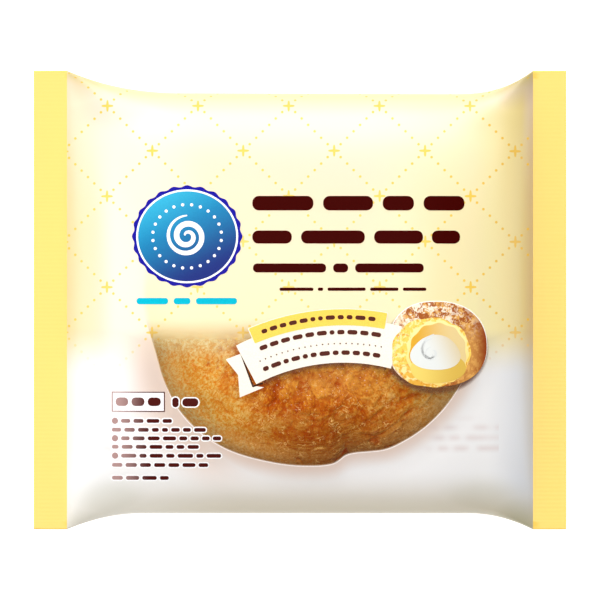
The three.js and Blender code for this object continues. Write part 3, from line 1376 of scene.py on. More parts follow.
@dataclass
class Puff:
    """The baked choux case, lying on the back film under the crown of the front."""

    form: PackForm
    plan: PuffPlan = PuffPlan()
    tuck: float = 0.3  # how far its edge reaches on under the print round the window
    widest_at: float = 16.0
    crown: float = 19.0
    belly: float = 15.7
    cuts: int = 118
    top_shape: Section = Section(2.2, 1.9)
    belly_shape: Section = Section(2.6, 2.4)
    seen_from: tuple[float, float, float] = (0.05, -0.57, 0.82)  # where it shows most
    crowding: float = 0.55  # of the mesh's points towards that side
    even_at: Point = (23.0, -27.0)  # middle of a smooth part of the crown
    lumps: Lumps = Lumps(19.0, 1.1, (3.1, 1.7, 0.4))
    dimples: Lumps = Lumps(8.0, 0.5, (7.0, 2.0, 5.0))
    grain: float = 0.14  # height of the finest relief
    ridge: float = 0.24  # height of the wrinkles at the rim
    cell: float = 0.8  # height of the crown's small lumps
    rim_share: float = 0.1  # how much of the relief the rim has, to stay an even curve
    film_gap: float = 0.3  # between it and the back film
    roof_gap: float = 0.5  # and between it and the front film
    skin_radius: float = 36.0  # where the map along the rim is true to length
    wrinkled_from: float = -72.0  # the lower right of the rim is wrinkled between
    wrinkled_to: float = -18.0  # these two directions, in degrees
    creases: tuple[Crease, ...] = (
        Crease((9.0, -44.4), (13.4, -41.0), 0.9, 0.8),
        Crease((12.6, -42.0), (11.8, -36.0), 0.5, 0.9),
        Crease((-5.9, -20.6), (-7.4, -28.2), 0.7, 0.75),
        Crease((1.6, -18.4), (-0.4, -27.6), 0.3, 0.7),
        Crease((-4.4, -35.6), (3.0, -31.2), 0.25, 0.7),
        Crease((9.6, -20.0), (11.2, -27.6), 0.15, 0.7),
        Crease((25.6, -28.4), (33.0, -24.6), 0.55, 0.75),
        Crease((18.6, -38.0), (22.0, -38.2), 0.7, 0.7),
        Crease((22.6, -39.9), (26.0, -40.2), 0.7, 0.7),
        Crease((-1.4, -43.2), (0.4, -43.3), 0.6, 0.55),
        Crease((-25.2, -17.2), (-24.2, -17.6), 0.4, 0.5),
        Crease((-22.6, -18.2), (-21.4, -18.8), 0.4, 0.5),
        Crease((-33.2, -11.5), (-33.8, -14.6), 0.3, 0.8),
    )

    def build(self) -> None:
        """Makes the puff and lets it stand for the sealed pack's inside."""
        bm = bmesh.new()
        bmesh.ops.create_cube(bm, size=2)
        bmesh.ops.subdivide_edges(bm, edges=bm.edges, cuts=self.cuts, use_grid_fill=True)
        rim = bm.verts.layers.float.new("rim")
        relief = bm.verts.layers.float.new("relief")
        skin = bm.loops.layers.uv.new("skin")
        balls = [self._on_ball(vert.co) for vert in bm.verts]
        turns = [math.degrees(math.atan2(ball.y, ball.x)) for ball in balls]
        reaches = self.plan.reach(np.array(turns)) + self.tuck
        for vert, ball, reach in zip(bm.verts, balls, reaches, strict=True):
            vert.co, vert[relief] = self._crust(ball, float(reach))
        self._keep_inside(bm)
        for vert, out in zip(bm.verts, self.plan.outside(*plan_of(bm)), strict=True):
            vert[rim] = max(-out, 0.0)
        for face in bm.faces:
            self._lay_skin(face, skin)
        piece = add_piece("puff", bm, [ChouxCrust().material()])
        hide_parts(SOLID)

    def _on_ball(self, corner: Vector) -> Vector:
        """A point of the cube, spread over a ball and closer to others where it shows."""
        spread = Vector(math.tan(part * math.pi / 4) for part in corner)
        drawn = spread.normalized() + Vector(self.seen_from) * self.crowding
        return drawn.normalized()

    def _turn_of(self, place: Vector) -> float:
        """The direction of a place from the puff's middle, in degrees from -270 to 90."""
        across = place.y - self.plan.centre[1]
        turn = math.degrees(math.atan2(across, place.x - self.plan.centre[0]))
        return turn - 360 if turn > 90 else turn

    def _out_of(self, place: Vector) -> float:
        """How far a place is from the puff's upright middle line."""
        return math.hypot(place.x - self.plan.centre[0], place.y - self.plan.centre[1])

    def _crust(self, ball: Vector, reach: float) -> tuple[Vector, float]:
        """A point of the crust.

        Args:
            ball: its direction from the puff's middle.
            reach: the outline's radius in that direction.

        Returns:
            The place in the frame, and its relief from 0 in a crevice to 1 on a ridge.
        """
        flat = math.hypot(ball.x, ball.y)
        shape = self.top_shape if ball.z > 0 else self.belly_shape
        height = self.crown if ball.z > 0 else self.belly
        out = flat ** (2 / shape.across) * reach
        up = math.copysign(abs(ball.z) ** (2 / shape.through), ball.z) * height
        side = Vector((ball.x, ball.y)) / max(flat, 1e-9)
        place = Vector((*(side * out), up + self.widest_at))
        place.x += self.plan.centre[0]
        place.y += self.plan.centre[1]
        near_crown = straight(place.z, self.widest_at - 1, self.widest_at + self.crown - 3)
        fine = noise.fractal(place / 2.6, 0.9, 2.1, 3)
        wrinkles = self._wrinkles(place)
        cracks = self._cracks(place) + self._torn(place)
        free = self.rim_share + (1 - self.rim_share) * near_crown
        cells = self._cells(place)
        rise = free * (self.lumps.at(place) + self.dimples.at(place) + self.grain * fine)
        rise += self.ridge * wrinkles + self.cell * cells
        place += ball * (rise - cracks)
        shown = 0.5 + 0.1 * fine + 0.22 * wrinkles + 0.4 * cells - 0.55 * min(cracks, 1.0)
        return place, min(max(shown, 0.0), 1.0)

    def _wrinkles(self, place: Vector) -> float:
        """Narrow ridges that run along the lower right of the rim, about -1 to 1."""
        turn, out = self._turn_of(place), self._out_of(place)
        along = (turn - self.wrinkled_from) * (self.wrinkled_to - turn)
        share = straight(along, 0, 350) * straight(out, 26, 32) * straight(out, 43.5, 40.5)
        if share == 0:
            return 0.0
        twist = noise.noise(place / 7.0) * 2.4
        spot = Vector((math.radians(turn) * 40 / 4.0, (out + twist) / 1.5, place.z / 6))
        return share * 2.2 * noise.noise(spot)

    def _cells(self, place: Vector) -> float:
        """Height of the crown's small lumps, -0.6 in the valleys between them to 0.4."""
        even = math.hypot(place.x - self.even_at[0], place.y - self.even_at[1])
        share = straight(self._out_of(place), 36, 28) * straight(even, 4, 13, 0.15)
        if share <= 0 or place.z < self.widest_at:
            return 0.0
        bent = place + noise.noise_vector(place / 5.0) * 2.8
        bent += noise.noise_vector(place / 1.7) * 0.7
        spot = Vector((bent.x / 5.6, bent.y / 7.6, bent.z / 7.0))
        nearest, second = noise.voronoi(spot)[0][:2]
        return share * (min((second - nearest) / 0.42, 1) - 0.6)

    def _torn(self, place: Vector) -> float:
        """Depth of the fine torn network on the crown, in millimetres."""
        share = straight(self._out_of(place), 40, 28)
        if share == 0 or place.z < self.widest_at:
            return 0.0
        bent = place + noise.noise_vector(place / 4.0) * 2.0
        fine = abs(noise.noise(bent / 2.8 + Vector((4.0, 0, 1.0))))
        return share * 0.28 * max(1 - fine / 0.2, 0)

    def _cracks(self, place: Vector) -> float:
        """Depth of the cracks in millimetres."""
        if place.z < self.widest_at - 3:
            return 0.0
        depth = 0.0
        sway = noise.noise(place / 2.7) * 1.1 + noise.noise(place / 1.1) * 0.35
        for crease in self.creases:
            start, end = Vector(crease.start), Vector(crease.end)
            line = end - start
            spot = Vector((place.x, place.y)) - start
            share = spot.dot(line) / line.length_squared
            aside = (line.x * spot.y - line.y * spot.x) / line.length + sway
            body = max(1 - (2 * share - 1) ** 4, 0)
            depth += crease.depth * body * math.exp(-((aside / crease.width) ** 2))
        return depth

    def _keep_inside(self, bm: BMesh) -> None:
        """Presses the puff onto the back film and holds it under the front film."""
        x, y = plan_of(bm)
        floor = self.form.back(x, y) + self.film_gap
        roof = self.form.front(x, y) - self.roof_gap
        for vert, low, high in zip(bm.verts, floor, roof, strict=True):
            vert.co.z = min(max(vert.co.z, low), high)

    def _lay_skin(self, face: BMFace, skin: BMLayerItem) -> None:
        """Stores how far round and how far out a face lies, for streaks along the rim."""
        turns = [self._turn_of(loop.vert.co) for loop in face.loops]
        split = max(turns) - min(turns) > 180
        for loop, turn in zip(face.loops, turns, strict=True):
            if split and turn < -90:
                turn += 360
            place = loop.vert.co - Vector((*self.plan.centre, self.widest_at))
            out = math.hypot(place.x, place.y) - place.z
            loop[skin].uv = (math.radians(turn) * self.skin_radius * MM, out * MM)


# ---- The print on the front ----


class Layer(Enum):
    """How far above the film each layer of ink lies, in millimetres."""

    SHADOW = 0.02
    HAZE = 0.035
    FIRST = 0.05
    SECOND = 0.08
    THIRD = 0.11
    FOURTH = 0.14
    FIFTH = 0.17
    SIXTH = 0.20
    SEVENTH = 0.23
    EIGHTH = 0.26


INK_BODY = 0.02  # thickness of each layer of ink


@dataclass(frozen=True)
class Bar:
    """A level bar with rounded ends, in the place of a word."""

    left: float
    right: float
    middle: float
    height: float
    roundness: float = 0.9

    def __call__(self, u: float, v: float) -> Point:
        """A point of the unit square, laid in the plan."""
        along, across = round_ended(u, v, self.right - self.left, self.height, self.roundness)
        return (self.left + self.right) / 2 + along, self.middle + across


@dataclass(frozen=True)
class Arc:
    """A band on a circle, between two angles in degrees from straight up."""

    centre: Point
    radius: float
    start: float
    end: float
    height: float
    roundness: float = 0.9

    def __call__(self, u: float, v: float) -> Point:
        """A point of the unit square, laid in the plan."""
        length = math.radians(self.end - self.start) * self.radius
        along, across = round_ended(u, v, length, self.height, self.roundness)
        turn = math.radians((self.start + self.end) / 2) + along / self.radius
        out = self.radius + across
        x, y = self.centre
        return x + out * math.sin(turn), y + out * math.cos(turn)


@dataclass(frozen=True)
class Blob:
    """A round field of colour with a softly uneven edge."""

    centre: Point
    half_x: float
    half_y: float
    power: float = 2.0  # 2 for an oval, more for a squarer form
    lobes: int = 0
    swing: float = 0.0  # how far the lobes stand out, as a share of the radius
    turn: float = 0.0  # of the lobes, in degrees

    def __call__(self, u: float, v: float) -> Point:
        """A point of the unit square, laid in the plan."""
        a, b = 2 * u - 1, 2 * v - 1
        x, y = a * math.sqrt(1 - b * b / 2), b * math.sqrt(1 - a * a / 2)
        turn = math.atan2(y, x)
        corner = abs(math.cos(turn)) ** self.power + abs(math.sin(turn)) ** self.power
        edge = corner ** (-1 / self.power)
        edge *= 1 + self.swing * math.cos(self.lobes * turn + math.radians(self.turn))
        return self.centre[0] + x * edge * self.half_x, self.centre[1] + y * edge * self.half_y


@dataclass(frozen=True)
class Ring:
    """A closed line round a centre."""

    centre: Point
    half_x: float
    half_y: float
    width: float

    def __call__(self, u: float, v: float) -> Point:
        """A point of the unit square, laid in the plan."""
        turn = u * math.tau
        out = (v - 0.5) * self.width
        x = (self.half_x + out) * math.cos(turn)
        y = (self.half_y + out) * math.sin(turn)
        return self.centre[0] + x, self.centre[1] + y


@dataclass(frozen=True)
class Spiral:
    """A line that winds in to a centre and tapers towards both of its ends."""

    centre: Point
    outer: float
    turns: float
    width: float

    def __call__(self, u: float, v: float) -> Point:
        """A point of the unit square, laid in the plan."""
        turn = math.pi / 2 + u * self.turns * math.tau
        body = math.sin(math.pi * min(max(u * 0.94 + 0.03, 0), 1)) ** 0.6
        out = self.outer * (0.12 + 0.88 * (1 - u)) + (v - 0.5) * self.width * body
        return self.centre[0] + out * math.cos(turn), self.centre[1] + out * math.sin(turn)


@dataclass(frozen=True)
class Quad:
    """A field with four corners: lower left, lower right, upper right, upper left."""

    corners: tuple[Point, Point, Point, Point]

    def __call__(self, u: float, v: float) -> Point:
        """A point of the unit square, laid in the plan."""
        shares = ((1 - u) * (1 - v), u * (1 - v), u * v, (1 - u) * v)
        corners = tuple(zip(shares, self.corners, strict=True))
        x, y = (sum(share * corner[i] for share, corner in corners) for i in (0, 1))
        return x, y


Shape = Callable[[float, float], Point]


def round_ended(u: float, v: float, length: float, height: float, roundness: float) -> Point:
    """A point of the unit square on a bar with rounded ends about the origin.

    Args:
        u: from 0 at one end to 1 at the other; each cap takes a fifth of it.
        v: from 0 at the lower edge to 1 at the upper edge.
        length: over both ends.
        height: of the bar.
        roundness: radius of the ends as a share of half the height.

    Returns:
        How far along and how far across the bar the point lies.
    """
    cap = 0.2
    radius = roundness * min(height, length) / 2
    level = length / 2 - radius
    end = min(u, 1 - u)
    if end >= cap:
        return (u - 0.5) / (0.5 - cap) * level, (v - 0.5) * height
    swing = end / cap * math.pi / 2
    along = level + radius * math.cos(swing)
    half = height / 2 - radius * (1 - math.sin(swing))
    return math.copysign(along, u - 0.5), (2 * v - 1) * half


@dataclass
class PrintSheet:
    """Shapes of one ink, laid on the front film as one thin layer."""

    form: PackForm
    layer: Layer
    bm: BMesh = field(default_factory=bmesh.new)

    def lay(self, shape: Shape, columns: int, rows: int = 2) -> None:
        """Adds a shape to the sheet, as a grid of so many columns and rows."""
        made = bmesh.ops.create_grid(self.bm, x_segments=columns, y_segments=rows, size=0.5)
        for vert in made["verts"]:
            vert.co = (*shape(vert.co.x + 0.5, vert.co.y + 0.5), 0)
        bmesh.ops.remove_doubles(self.bm, verts=made["verts"], dist=1e-4)

    def press(self, name: str, finish: Material, slot: str) -> None:
        """Presses the sheet onto the film.

        Args:
            name: the piece's name.
            finish: its ink.
            slot: not used.
        """
        heights = self.form.front(*plan_of(self.bm)) + self.layer.value
        for vert, height in zip(self.bm.verts, heights, strict=True):
            vert.co.z = height
        sheet = [*self.bm.verts, *self.bm.edges, *self.bm.faces]
        raised = bmesh.ops.extrude_face_region(self.bm, geom=sheet, use_keep_orig=True)
        tops = [item for item in raised["geom"] if isinstance(item, BMVert)]
        bmesh.ops.translate(self.bm, vec=(0, 0, INK_BODY), verts=tops)
        add_piece(name, self.bm, [finish], sharp_over=50)


SHORTEST = 0.45  # word, as a share of the longest


def words(left: float, right: float, seed: int, longest: float, gap: float) -> list[Point]:
    """Splits a line of text's place into the places of its words.

    Args:
        left: where the line starts.
        right: where it ends.
        seed: of the random lengths.
        longest: the longest word.
        gap: between two words.

    Returns:
        The left and right end of each word.
    """
    draw = random.Random(seed)
    lengths: list[float] = []
    while sum(lengths) + gap * len(lengths) < right - left:
        lengths.append(draw.uniform(SHORTEST, 1.0) * longest)
    room = right - left - gap * (len(lengths) - 1)
    stretch = room / sum(lengths)
    places, start = [], left
    for length in lengths:
        places.append((start, start + length * stretch))
        start += length * stretch + gap
    return places


@dataclass(frozen=True)
class WindowEdge:
    """A thin line along the lower part of the puff's outline, tapering at its ends."""

    plan: PuffPlan
    start: float  # its ends, in degrees
    end: float
    width: float
    inset: float  # how far it reaches in over the puff's edge

    def __call__(self, u: float, v: float) -> Point:
        """A point of the unit square, laid in the plan."""
        turn = self.start + u * (self.end - self.start)
        body = min(u, 1 - u, 0.1) / 0.1
        out = float(self.plan.reach(turn)) - self.inset
        out += v * self.width * (0.1 + 0.9 * body)
        x = self.plan.centre[0] + out * math.cos(math.radians(turn))
        return x, self.plan.centre[1] + out * math.sin(math.radians(turn))


@dataclass
class Badge:
    """A frilled blue rosette with a white ring and a swirl of cream."""

    form: PackForm
    centre: Point = (-30.3, 17.1)
    half_x: float = 14.6
    half_y: float = 13.5
    frills: int = 24
    frill_swing: float = 0.018
    ring_inset: float = 1.15
    ring_width: float = 0.5
    swirl: Spiral = Spiral((-30.3, 17.1), 5.6, 2.2, 1.5)
    pearls: int = 24
    pearl_half_x: float = 9.256  # of the oval on which they lie
    pearl_half_y: float = 8.544
    pearl_radius: float = 0.42

    def build(self) -> None:
        """Makes the rosette."""
        rim = PrintSheet(self.form, Layer.FIRST)
        frilled = Blob(self.centre, self.half_x, self.half_y, 2, self.frills, self.frill_swing)
        rim.lay(frilled, 48, 48)
        rim.press("badge_rim", Ink("ink_deep_blue", srgb(15, 6, 150)).material(), "print_blue")
        field_sheet = PrintSheet(self.form, Layer.SECOND)
        inner_x, inner_y = self.half_x - self.ring_inset, self.half_y - self.ring_inset
        field_sheet.lay(Blob(self.centre, inner_x, inner_y), 32, 32)
        field_sheet.press("badge_field", BadgeField(self.centre).material(), "print_blue")
        white = PrintSheet(self.form, Layer.THIRD)
        white.lay(Ring(self.centre, inner_x, inner_y, self.ring_width), 96)
        white.lay(self.swirl, 96)
        for i in range(self.pearls):
            turn = math.tau * (i + 0.5) / self.pearls
            x = self.centre[0] + self.pearl_half_x * math.cos(turn)
            y = self.centre[1] + self.pearl_half_y * math.sin(turn)
            white.lay(Blob((x, y), self.pearl_radius, self.pearl_radius), 4, 4)
        white.press("badge_white", Ink("ink_white", srgb(253, 253, 255)).material(), "print_white")


@dataclass
class Window:
    """The thin white line round the clear window."""

    form: PackForm
    edge: WindowEdge = WindowEdge(PuffPlan(), -152.0, -26.0, 0.27, 0.15)
    ink: Ink = Ink("ink_window", srgb(242, 230, 225))

    def build(self) -> None:
        """Makes the line."""
        sheet = PrintSheet(self.form, Layer.SHADOW)
        sheet.lay(self.edge, 240, 1)
        sheet.press("window_line", self.ink.material(), "print_white")


@dataclass
class TitleBars:
    """Plain bars where the front's lines of text stand."""

    form: PackForm
    brown: Colour = srgb(60, 2, 0)
    cyan: Colour = srgb(0, 182, 206)
    rows: tuple[tuple[float, float, tuple[Point, ...]], ...] = (
        (26.0, 3.9, ((-12.8, 3.6), (6.2, 19.6), (22.2, 30.6), (33.2, 44.2))),
        (16.9, 3.5, ((-12.8, -2.2), (0.3, 17.4), (19.9, 33.0), (35.4, 43.0))),
        (8.6, 2.4, ((-12.6, 7.0), (8.9, 12.9), (14.8, 33.2))),
        (2.9, 0.85, ((-5.5, 3.6), (4.8, 6.2), (7.4, 17.6), (18.8, 26.4), (27.6, 33.9))),
    )
    cyan_row: tuple[float, float, tuple[Point, ...]] = (
        -0.3,
        1.7,
        ((-43.9, -35.4), (-33.9, -29.4), (-27.9, -16.9)),
    )

    def build(self) -> None:
        """Makes the bars."""
        dark = PrintSheet(self.form, Layer.FIRST)
        for row in self.rows:
            self._row(dark, row)
        dark.press("title_bars", Ink("ink_brown", self.brown, shine=0.02).material(), "print_brown")
        light = PrintSheet(self.form, Layer.FIRST)
        self._row(light, self.cyan_row)
        light.press("cyan_bars", Ink("ink_cyan", self.cyan, shine=0.04).material(), "print_cyan")

    def _row(self, sheet: PrintSheet, row: tuple[float, float, tuple[Point, ...]]) -> None:
        """Lays the bars of one row."""
        middle, height, bars = row
        for left, right in bars:
            sheet.lay(Bar(left, right, middle, height), 25, 4)


@dataclass
class Ribbon:
    """The curved white ribbon with its tail and the yellow band along its top."""

    form: PackForm
    centre: Point = (11.75, -67.3)
    low: float = 50.5
    high: float = 62.2
    left: float = -27.7
    right: float = 14.5
    band_low: float = 60.5
    band_high: float = 64.84
    band_left: float = -23.2
    band_right: float = 10.4
    outline: float = 0.2
    ends: float = 0.02  # roundness of the ribbon's ends
    band_ends: float = 0.16  # and of the band's
    tail: tuple[Point, ...] = (  # tip, notch, foot, end, corner, top
        (-19.94, -15.93), (-16.62, -20.11), (-16.16, -26.16),
        (-9.65, -23.44), (-12.43, -23.06), (-15.83, -14.39),
    )
    edge_lines: tuple[tuple[Point, Point, float], ...] = (  # ends and width
        ((-15.83, -14.39), (-12.6, -23.3), 0.42),
        ((-12.7, -23.2), (-9.94, -22.3), 0.5),
    )
    rows: tuple[tuple[float, float, float, float, int], ...] = (
        # radius, ends in degrees, height of the bars, seed of their lengths
        (62.7, -20.6, 7.8, 1.15, 3),
        (58.7, -22.6, 9.8, 1.2, 5),
        (53.2, -24.0, 10.6, 1.2, 8),
    )
    longest: float = 3.0  # of the bars
    gap: float = 0.75
    divider: float = 55.65  # radius of the dotted line, then its place and its dots
    divider_left: float = -23.8
    divider_span: float = 34.2
    divider_pitch: float = 1.6
    divider_dot: float = 0.2
    shadow_left: float = -25.5
    shadow_right: float = 13.0
    shadow_reach: float = 1.5  # past the ribbon's lower edge
    shadow_strength: float = 0.36
    shadow_rim: float = 0.4  # past the radius where it is clear
    shadow_tuck: float = 0.6  # under the ribbon

    def build(self) -> None:
        """Makes the ribbon."""
        self._shadow()
        paper = Ink("ink_ivory", srgb(252, 242, 226)).material()
        tip, notch, foot, end, corner, top = self.tail
        tail = PrintSheet(self.form, Layer.FIRST)
        tail.lay(Quad((notch, corner, top, tip)), 8, 8)
        tail.lay(Quad((foot, end, corner, notch)), 8, 8)
        tail.press("ribbon_tail", paper, "print_white")
        body = PrintSheet(self.form, Layer.THIRD)
        body.lay(self._arc(self.low, self.high, self.left, self.right, self.ends), 60, 12)
        body.press("ribbon", paper, "print_white")
        edge = PrintSheet(self.form, Layer.SECOND)
        for line in self.edge_lines:
            edge.lay(self._stroke(*line), 10, 1)
        edge.press("ribbon_edge", Ink("ink_edge", srgb(66, 30, 12)).material(), "print_brown")
        halo = PrintSheet(self.form, Layer.FOURTH)
        halo.lay(self._band(self.outline), 60, 6)
        halo.press("band_outline", paper, "print_white")
        band = PrintSheet(self.form, Layer.FIFTH)
        band.lay(self._band(0.0), 60, 6)
        band.press("band", Ink("ink_yellow", srgb(255, 210, 88)).material(), "print_yellow")
        self._rows()

    def _arc(
        self, low: float, high: float, left: float, right: float, roundness: float
    ) -> Arc:
        """A band between two radii and two angles."""
        return Arc(self.centre, (low + high) / 2, left, right, high - low, roundness)

    def _band(self, margin: float) -> Arc:
        """The yellow band, or its outline where there is a margin."""
        turn = math.degrees(margin / self.band_high)
        low, high = self.band_low - margin, self.band_high + margin
        left, right = self.band_left - turn, self.band_right + turn
        return self._arc(low, high, left, right, self.band_ends)

    def _stroke(self, start: Point, end: Point, width: float) -> Quad:
        """A straight line of the given width."""
        first, last = Vector(start), Vector(end)
        along = last - first
        side = Vector((-along.y, along.x)).normalized() * (width / 2)
        corners = (first - side, last - side, last + side, first + side)
        return Quad(tuple((corner.x, corner.y) for corner in corners))

    def _rows(self) -> None:
        """The bars and dots that stand for the ribbon's two lines and the band's one."""
        sheet = PrintSheet(self.form, Layer.SIXTH)
        for radius, left, right, height, seed in self.rows:
            degree = math.radians(1) * radius  # its length on the row
            for start, end in words(left * degree, right * degree, seed, self.longest, self.gap):
                bar = Arc(self.centre, radius, start / degree, end / degree, height)
                sheet.lay(bar, 15, 2)
        length = math.radians(self.divider_span) * self.divider
        steps = round(length / self.divider_pitch)
        for i in range(steps + 1):
            turn = self.divider_left + self.divider_span * i / steps
            at = Arc(self.centre, self.divider, turn, turn, 0, 0)(0.5, 0.5)
            sheet.lay(Blob(at, self.divider_dot, self.divider_dot), 2, 2)
        sheet.press("ribbon_bars", Ink("ink_umber", srgb(84, 34, 22)).material(), "print_brown")

    def _shadow(self) -> None:
        """The soft printed shadow below the ribbon."""
        clear_at = self.low - self.shadow_reach
        strength = self.shadow_strength
        ink = PrintedShadow("shadow_ribbon", self.centre, clear_at, self.low, strength)
        sheet = PrintSheet(self.form, Layer.SHADOW)
        low, high = clear_at - self.shadow_rim, self.low + self.shadow_tuck
        field_of_ink = self._arc(low, high, self.shadow_left, self.shadow_right, self.ends)
        sheet.lay(field_of_ink, 60, 8)
        sheet.press("ribbon_shadow", ink.material(), "print_brown")


@dataclass
class PuffPicture:
    """A simple picture of a cut puff: crust, crumb, hollow, custard and whipped cream."""

    form: PackForm
    crust: Blob = Blob((36.9, -12.0), 13.2, 11.4, 2.3, 3, 0.014, 50)
    halo: Blob = Blob((36.9, -11.78), 13.35, 11.45, 2.3, 3, 0.014, 50)
    shadow: Blob = Blob((36.4, -13.1), 14.8, 12.8, 2.3)
    shadow_ink: PrintedShadow = PrintedShadow(
        "shadow_picture", (36.4, -13.1), 12.7, 11.3, 0.45, 0.864
    )
    crumb: Blob = Blob((35.2, -14.1), 10.6, 9.3, 2.1, 9, 0.018)
    torn: Blob = Blob((36.9, -14.2), 8.3, 8.6, 2.1, 13, 0.03, 40)
    hollow: Blob = Blob((37.0, -14.3), 7.6, 8.0, 2.1, 11, 0.025, 120)
    custard: Blob = Blob((37.0, -18.1), 7.4, 4.3, 2.1, 3, 0.03, 30)
    cream: Blob = Blob((36.4, -14.3), 6.7, 4.7, 2.0, 3, 0.06, 100)
    folds: tuple[Spiral, ...] = (
        Spiral((35.4, -13.8), 3.4, 0.9, 0.85),
        Spiral((36.0, -14.2), 5.0, 0.55, 0.7),
        Spiral((35.2, -14.6), 2.0, 0.8, 0.5),
    )

    def build(self) -> None:
        """Makes the picture from its lowest field up."""
        ink, tone = PictureInk, PictureTone
        shade = PrintSheet(self.form, Layer.HAZE)
        shade.lay(self.shadow, 32, 32)
        shade.press("picture_shadow", self.shadow_ink.material(), "print_brown")
        fields = (
            ("halo", (self.halo,), ink(tone.HALO, -24, 0)),
            ("crust", (self.crust,), PictureCrust()),
            ("crumb", (self.crumb,), ink(tone.CRUMB, -23, -15, 90, 0.75)),
            ("torn", (self.torn,), ink(tone.TORN, -22, -8)),
            ("hollow", (self.hollow,), ink(tone.HOLLOW, 30, 42, 0)),
            ("custard", (self.custard,), ink(tone.CUSTARD, 30, 43, 0)),
            ("cream", (self.cream,), ink(tone.CREAM, 25, 36, 25)),
            ("fold", self.folds, ink(tone.CREAM_FOLD, 36, 42, 0)),
        )
        for (part, shapes, finish), layer in zip(fields, list(Layer)[2:], strict=True):
            sheet, name = PrintSheet(self.form, layer), f"picture_{part}"
            for shape in shapes:
                sheet.lay(shape, *((40, 2) if isinstance(shape, Spiral) else (32, 32)))
            sheet.press(name, finish.material(name), "print_yellow")


@dataclass
class Notes:
    """Small plain bars where the notes stand at the lower left, with white outlines."""

    form: PackForm
    left: float = -50.66
    lines: tuple[Point, ...] = (  # middle and right-hand end
        (-32.5, -34.4), (-34.9, -25.3), (-37.2, -21.2), (-39.5, -27.2),
        (-41.9, -21.2), (-44.4, -24.7), (-47.9, -35.3),
    )
    heading: tuple[tuple[float, float, float, float], ...] = (  # left, right, middle, height
        (-49.6, -46.2, -27.35, 2.3),
        (-45.3, -41.8, -27.35, 2.3),
        (-40.9, -37.4, -27.35, 2.3),
        (-34.3, -32.6, -27.5, 2.6),
        (-31.6, -27.3, -27.5, 2.2),
    )
    height: float = 1.05
    longest: float = 4.2  # of the bars
    gap: float = 0.85
    seed: int = 11  # of the first line's bars, then one more for each line
    indent: float = 2.5  # of a line with a bullet
    halo: float = 0.35
    bullet: float = 0.85
    bulleted: tuple[int, ...] = (0, 2, 4)
    frame_box: tuple[float, float, float, float] = (-50.66, -36.3, -30.06, -24.65)
    frame_line: float = 0.28

    def build(self) -> None:
        """Makes the notes."""
        white = PrintSheet(self.form, Layer.FIRST)
        ink = PrintSheet(self.form, Layer.SECOND)
        for left, right, middle, height in self._bars():
            grown = Bar(left - self.halo, right + self.halo, middle, height + 2 * self.halo)
            white.lay(grown, 15, 2)
            ink.lay(Bar(left, right, middle, height), 15, 2)
        for centre in self._bullets():
            white.lay(Blob(centre, self.bullet + self.halo, self.bullet + self.halo), 8, 8)
            ink.lay(Blob(centre, self.bullet, self.bullet), 8, 8)
        left, right, low, high = self.frame_box
        white.lay(self._box(left, low, right, high), 12, 5)
        line = self.frame_line
        for box in (
            (left, low, right, low + line),
            (left, high - line, right, high),
            (left, low, left + line, high),
            (right - line, low, right, high),
        ):
            ink.lay(self._box(*box), 8, 2)
        paper = Ink("ink_note_white", srgb(252, 250, 250)).material()
        white.press("notes_white", paper, "print_white")
        ink.press("notes_bars", NoteInk().material(), "print_brown")

    def _box(self, left: float, low: float, right: float, high: float) -> Quad:
        """An upright box."""
        return Quad(((left, low), (right, low), (right, high), (left, high)))

    def _bars(self) -> list[tuple[float, float, float, float]]:
        """Left, right, middle and height of every bar."""
        bars = [*self.heading]
        for row, (middle, right) in enumerate(self.lines):
            start = self.left + (self.indent if row in self.bulleted else 0)
            for left, end in words(start, right, self.seed + row, self.longest, self.gap):
                bars.append((left, end, middle, self.height))
        return bars

    def _bullets(self) -> list[Point]:
        """The centres of the round bullets."""
        return [(self.left + self.bullet, self.lines[row][0]) for row in self.bulleted]


# ---- Studio ----


class LampSide(Enum):
    """Where a studio lamp stands: its direction from the pack."""

    KEY = (-0.12, 0.12, 0.97)
    TOP = (0.0, 1.0, 0.5)
    LEFT = (-1.0, 0.0, 0.55)


@dataclass(frozen=True)
class Lamp:
    """A soft studio lamp that faces the pack."""

    name: str
    side: LampSide
    distance: float
    width: float
    height: float
    brightness: float

    def hang(self) -> None:
        """Puts the lamp in its place."""
        data = bpy.data.lights.new(self.name, "AREA")
        data.shape = "RECTANGLE"
        data.size, data.size_y = self.width, self.height
        data.energy = self.brightness * math.pi * self.width * self.height
        lamp = bpy.data.objects.new(self.name, data)
        bpy.context.scene.collection.objects.link(lamp)
        direction = Vector(self.side.value).normalized()
        lamp.location = direction * self.distance
        lamp.rotation_mode = "QUATERNION"
        lamp.rotation_quaternion = direction.to_track_quat("Z", "Y")
        lamp.visible_camera = False


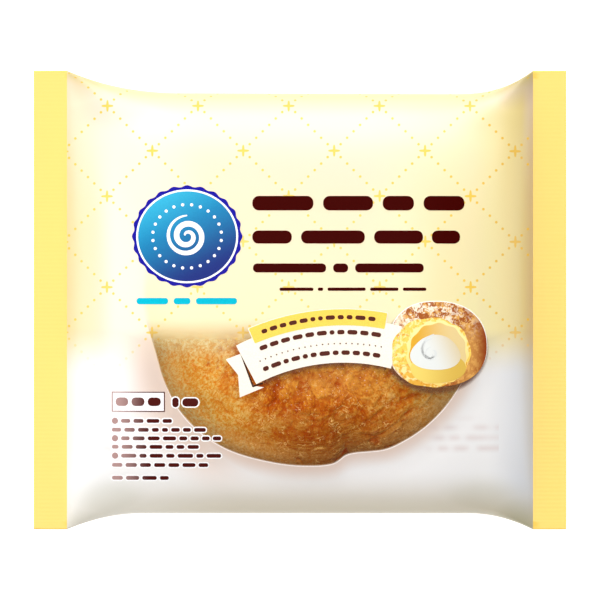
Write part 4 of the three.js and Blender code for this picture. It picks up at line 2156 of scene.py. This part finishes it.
@dataclass
class Studio:
    """The plain pale floor, the lamps and the camera straight above the pack."""

    frame_width: float = 0.1618  # metres of the scene across the picture, at focus_height
    focus_height: float = 0.022
    camera_height: float = 3.0
    sensor: float = 36.0
    ambient: float = 0.55
    lamps: tuple[Lamp, ...] = (
        Lamp("key_lamp", LampSide.KEY, 1.6, 1.2, 1.2, 3.1),
        Lamp("top_lamp", LampSide.TOP, 1.4, 1.5, 0.7, 3.4),
        Lamp("left_lamp", LampSide.LEFT, 1.4, 0.6, 1.0, 2.8),
    )

    def build(self) -> None:
        """Makes everything that isn't the pack."""
        self._camera()
        self._floor()
        self._world()
        for lamp in self.lamps:
            lamp.hang()
        view = bpy.context.scene.view_settings
        view.view_transform = "Standard"
        view.look = "None"

    def _camera(self) -> None:
        """A long lens straight above, so that the pack keeps its plan."""
        data = bpy.data.cameras.new("camera")
        distance = self.camera_height - self.focus_height
        data.sensor_width = self.sensor
        data.lens = self.sensor * distance / self.frame_width
        data.clip_end = 100
        camera = bpy.data.objects.new("camera", data)
        bpy.context.scene.collection.objects.link(camera)
        camera.location = (0, 0, self.camera_height)
        bpy.context.scene.camera = camera

    def _floor(self) -> None:
        """A wide white table, lit a little from within so that it stays white."""
        bm = bmesh.new()
        bmesh.ops.create_grid(bm, x_segments=1, y_segments=1, size=20)
        mesh = bpy.data.meshes.new("table")
        bm.to_mesh(mesh)
        bm.free()
        graph = Graph("table_white")
        lit = graph.principled(
            srgb(225, 225, 225),
            0.8,
            Emission_Color=(1.0, 1.0, 1.0),
            Emission_Strength=0.6,
        )
        mesh.materials.append(graph.finish(lit))
        table = bpy.data.objects.new("table", mesh)
        bpy.context.scene.collection.objects.link(table)

    def _world(self) -> None:
        """Even white light from all round."""
        world = bpy.data.worlds.new("studio")
        world.use_nodes = True
        background = world.node_tree.nodes["Background"]
        background.inputs["Color"].default_value = (1, 1, 1, 1)
        background.inputs["Strength"].default_value = self.ambient
        bpy.context.scene.world = world


def main() -> None:
    """Builds the pack and the studio round it."""
    logging.basicConfig(level=logging.INFO, format="%(name)s: %(message)s")
    form = PackForm.from_frame()
    log.info("pack %.1f x %.1f x %.1f mm", form.length, form.flat_width, form.thickness)
    Studio().build()
    Wrapper(form).build()
    Fin(form).build()
    Puff(form).build()
    Window(form).build()
    Badge(form).build()
    TitleBars(form).build()
    Ribbon(form).build()
    PuffPicture(form).build()
    Notes(form).build()


if __name__ == "__main__":
    main()
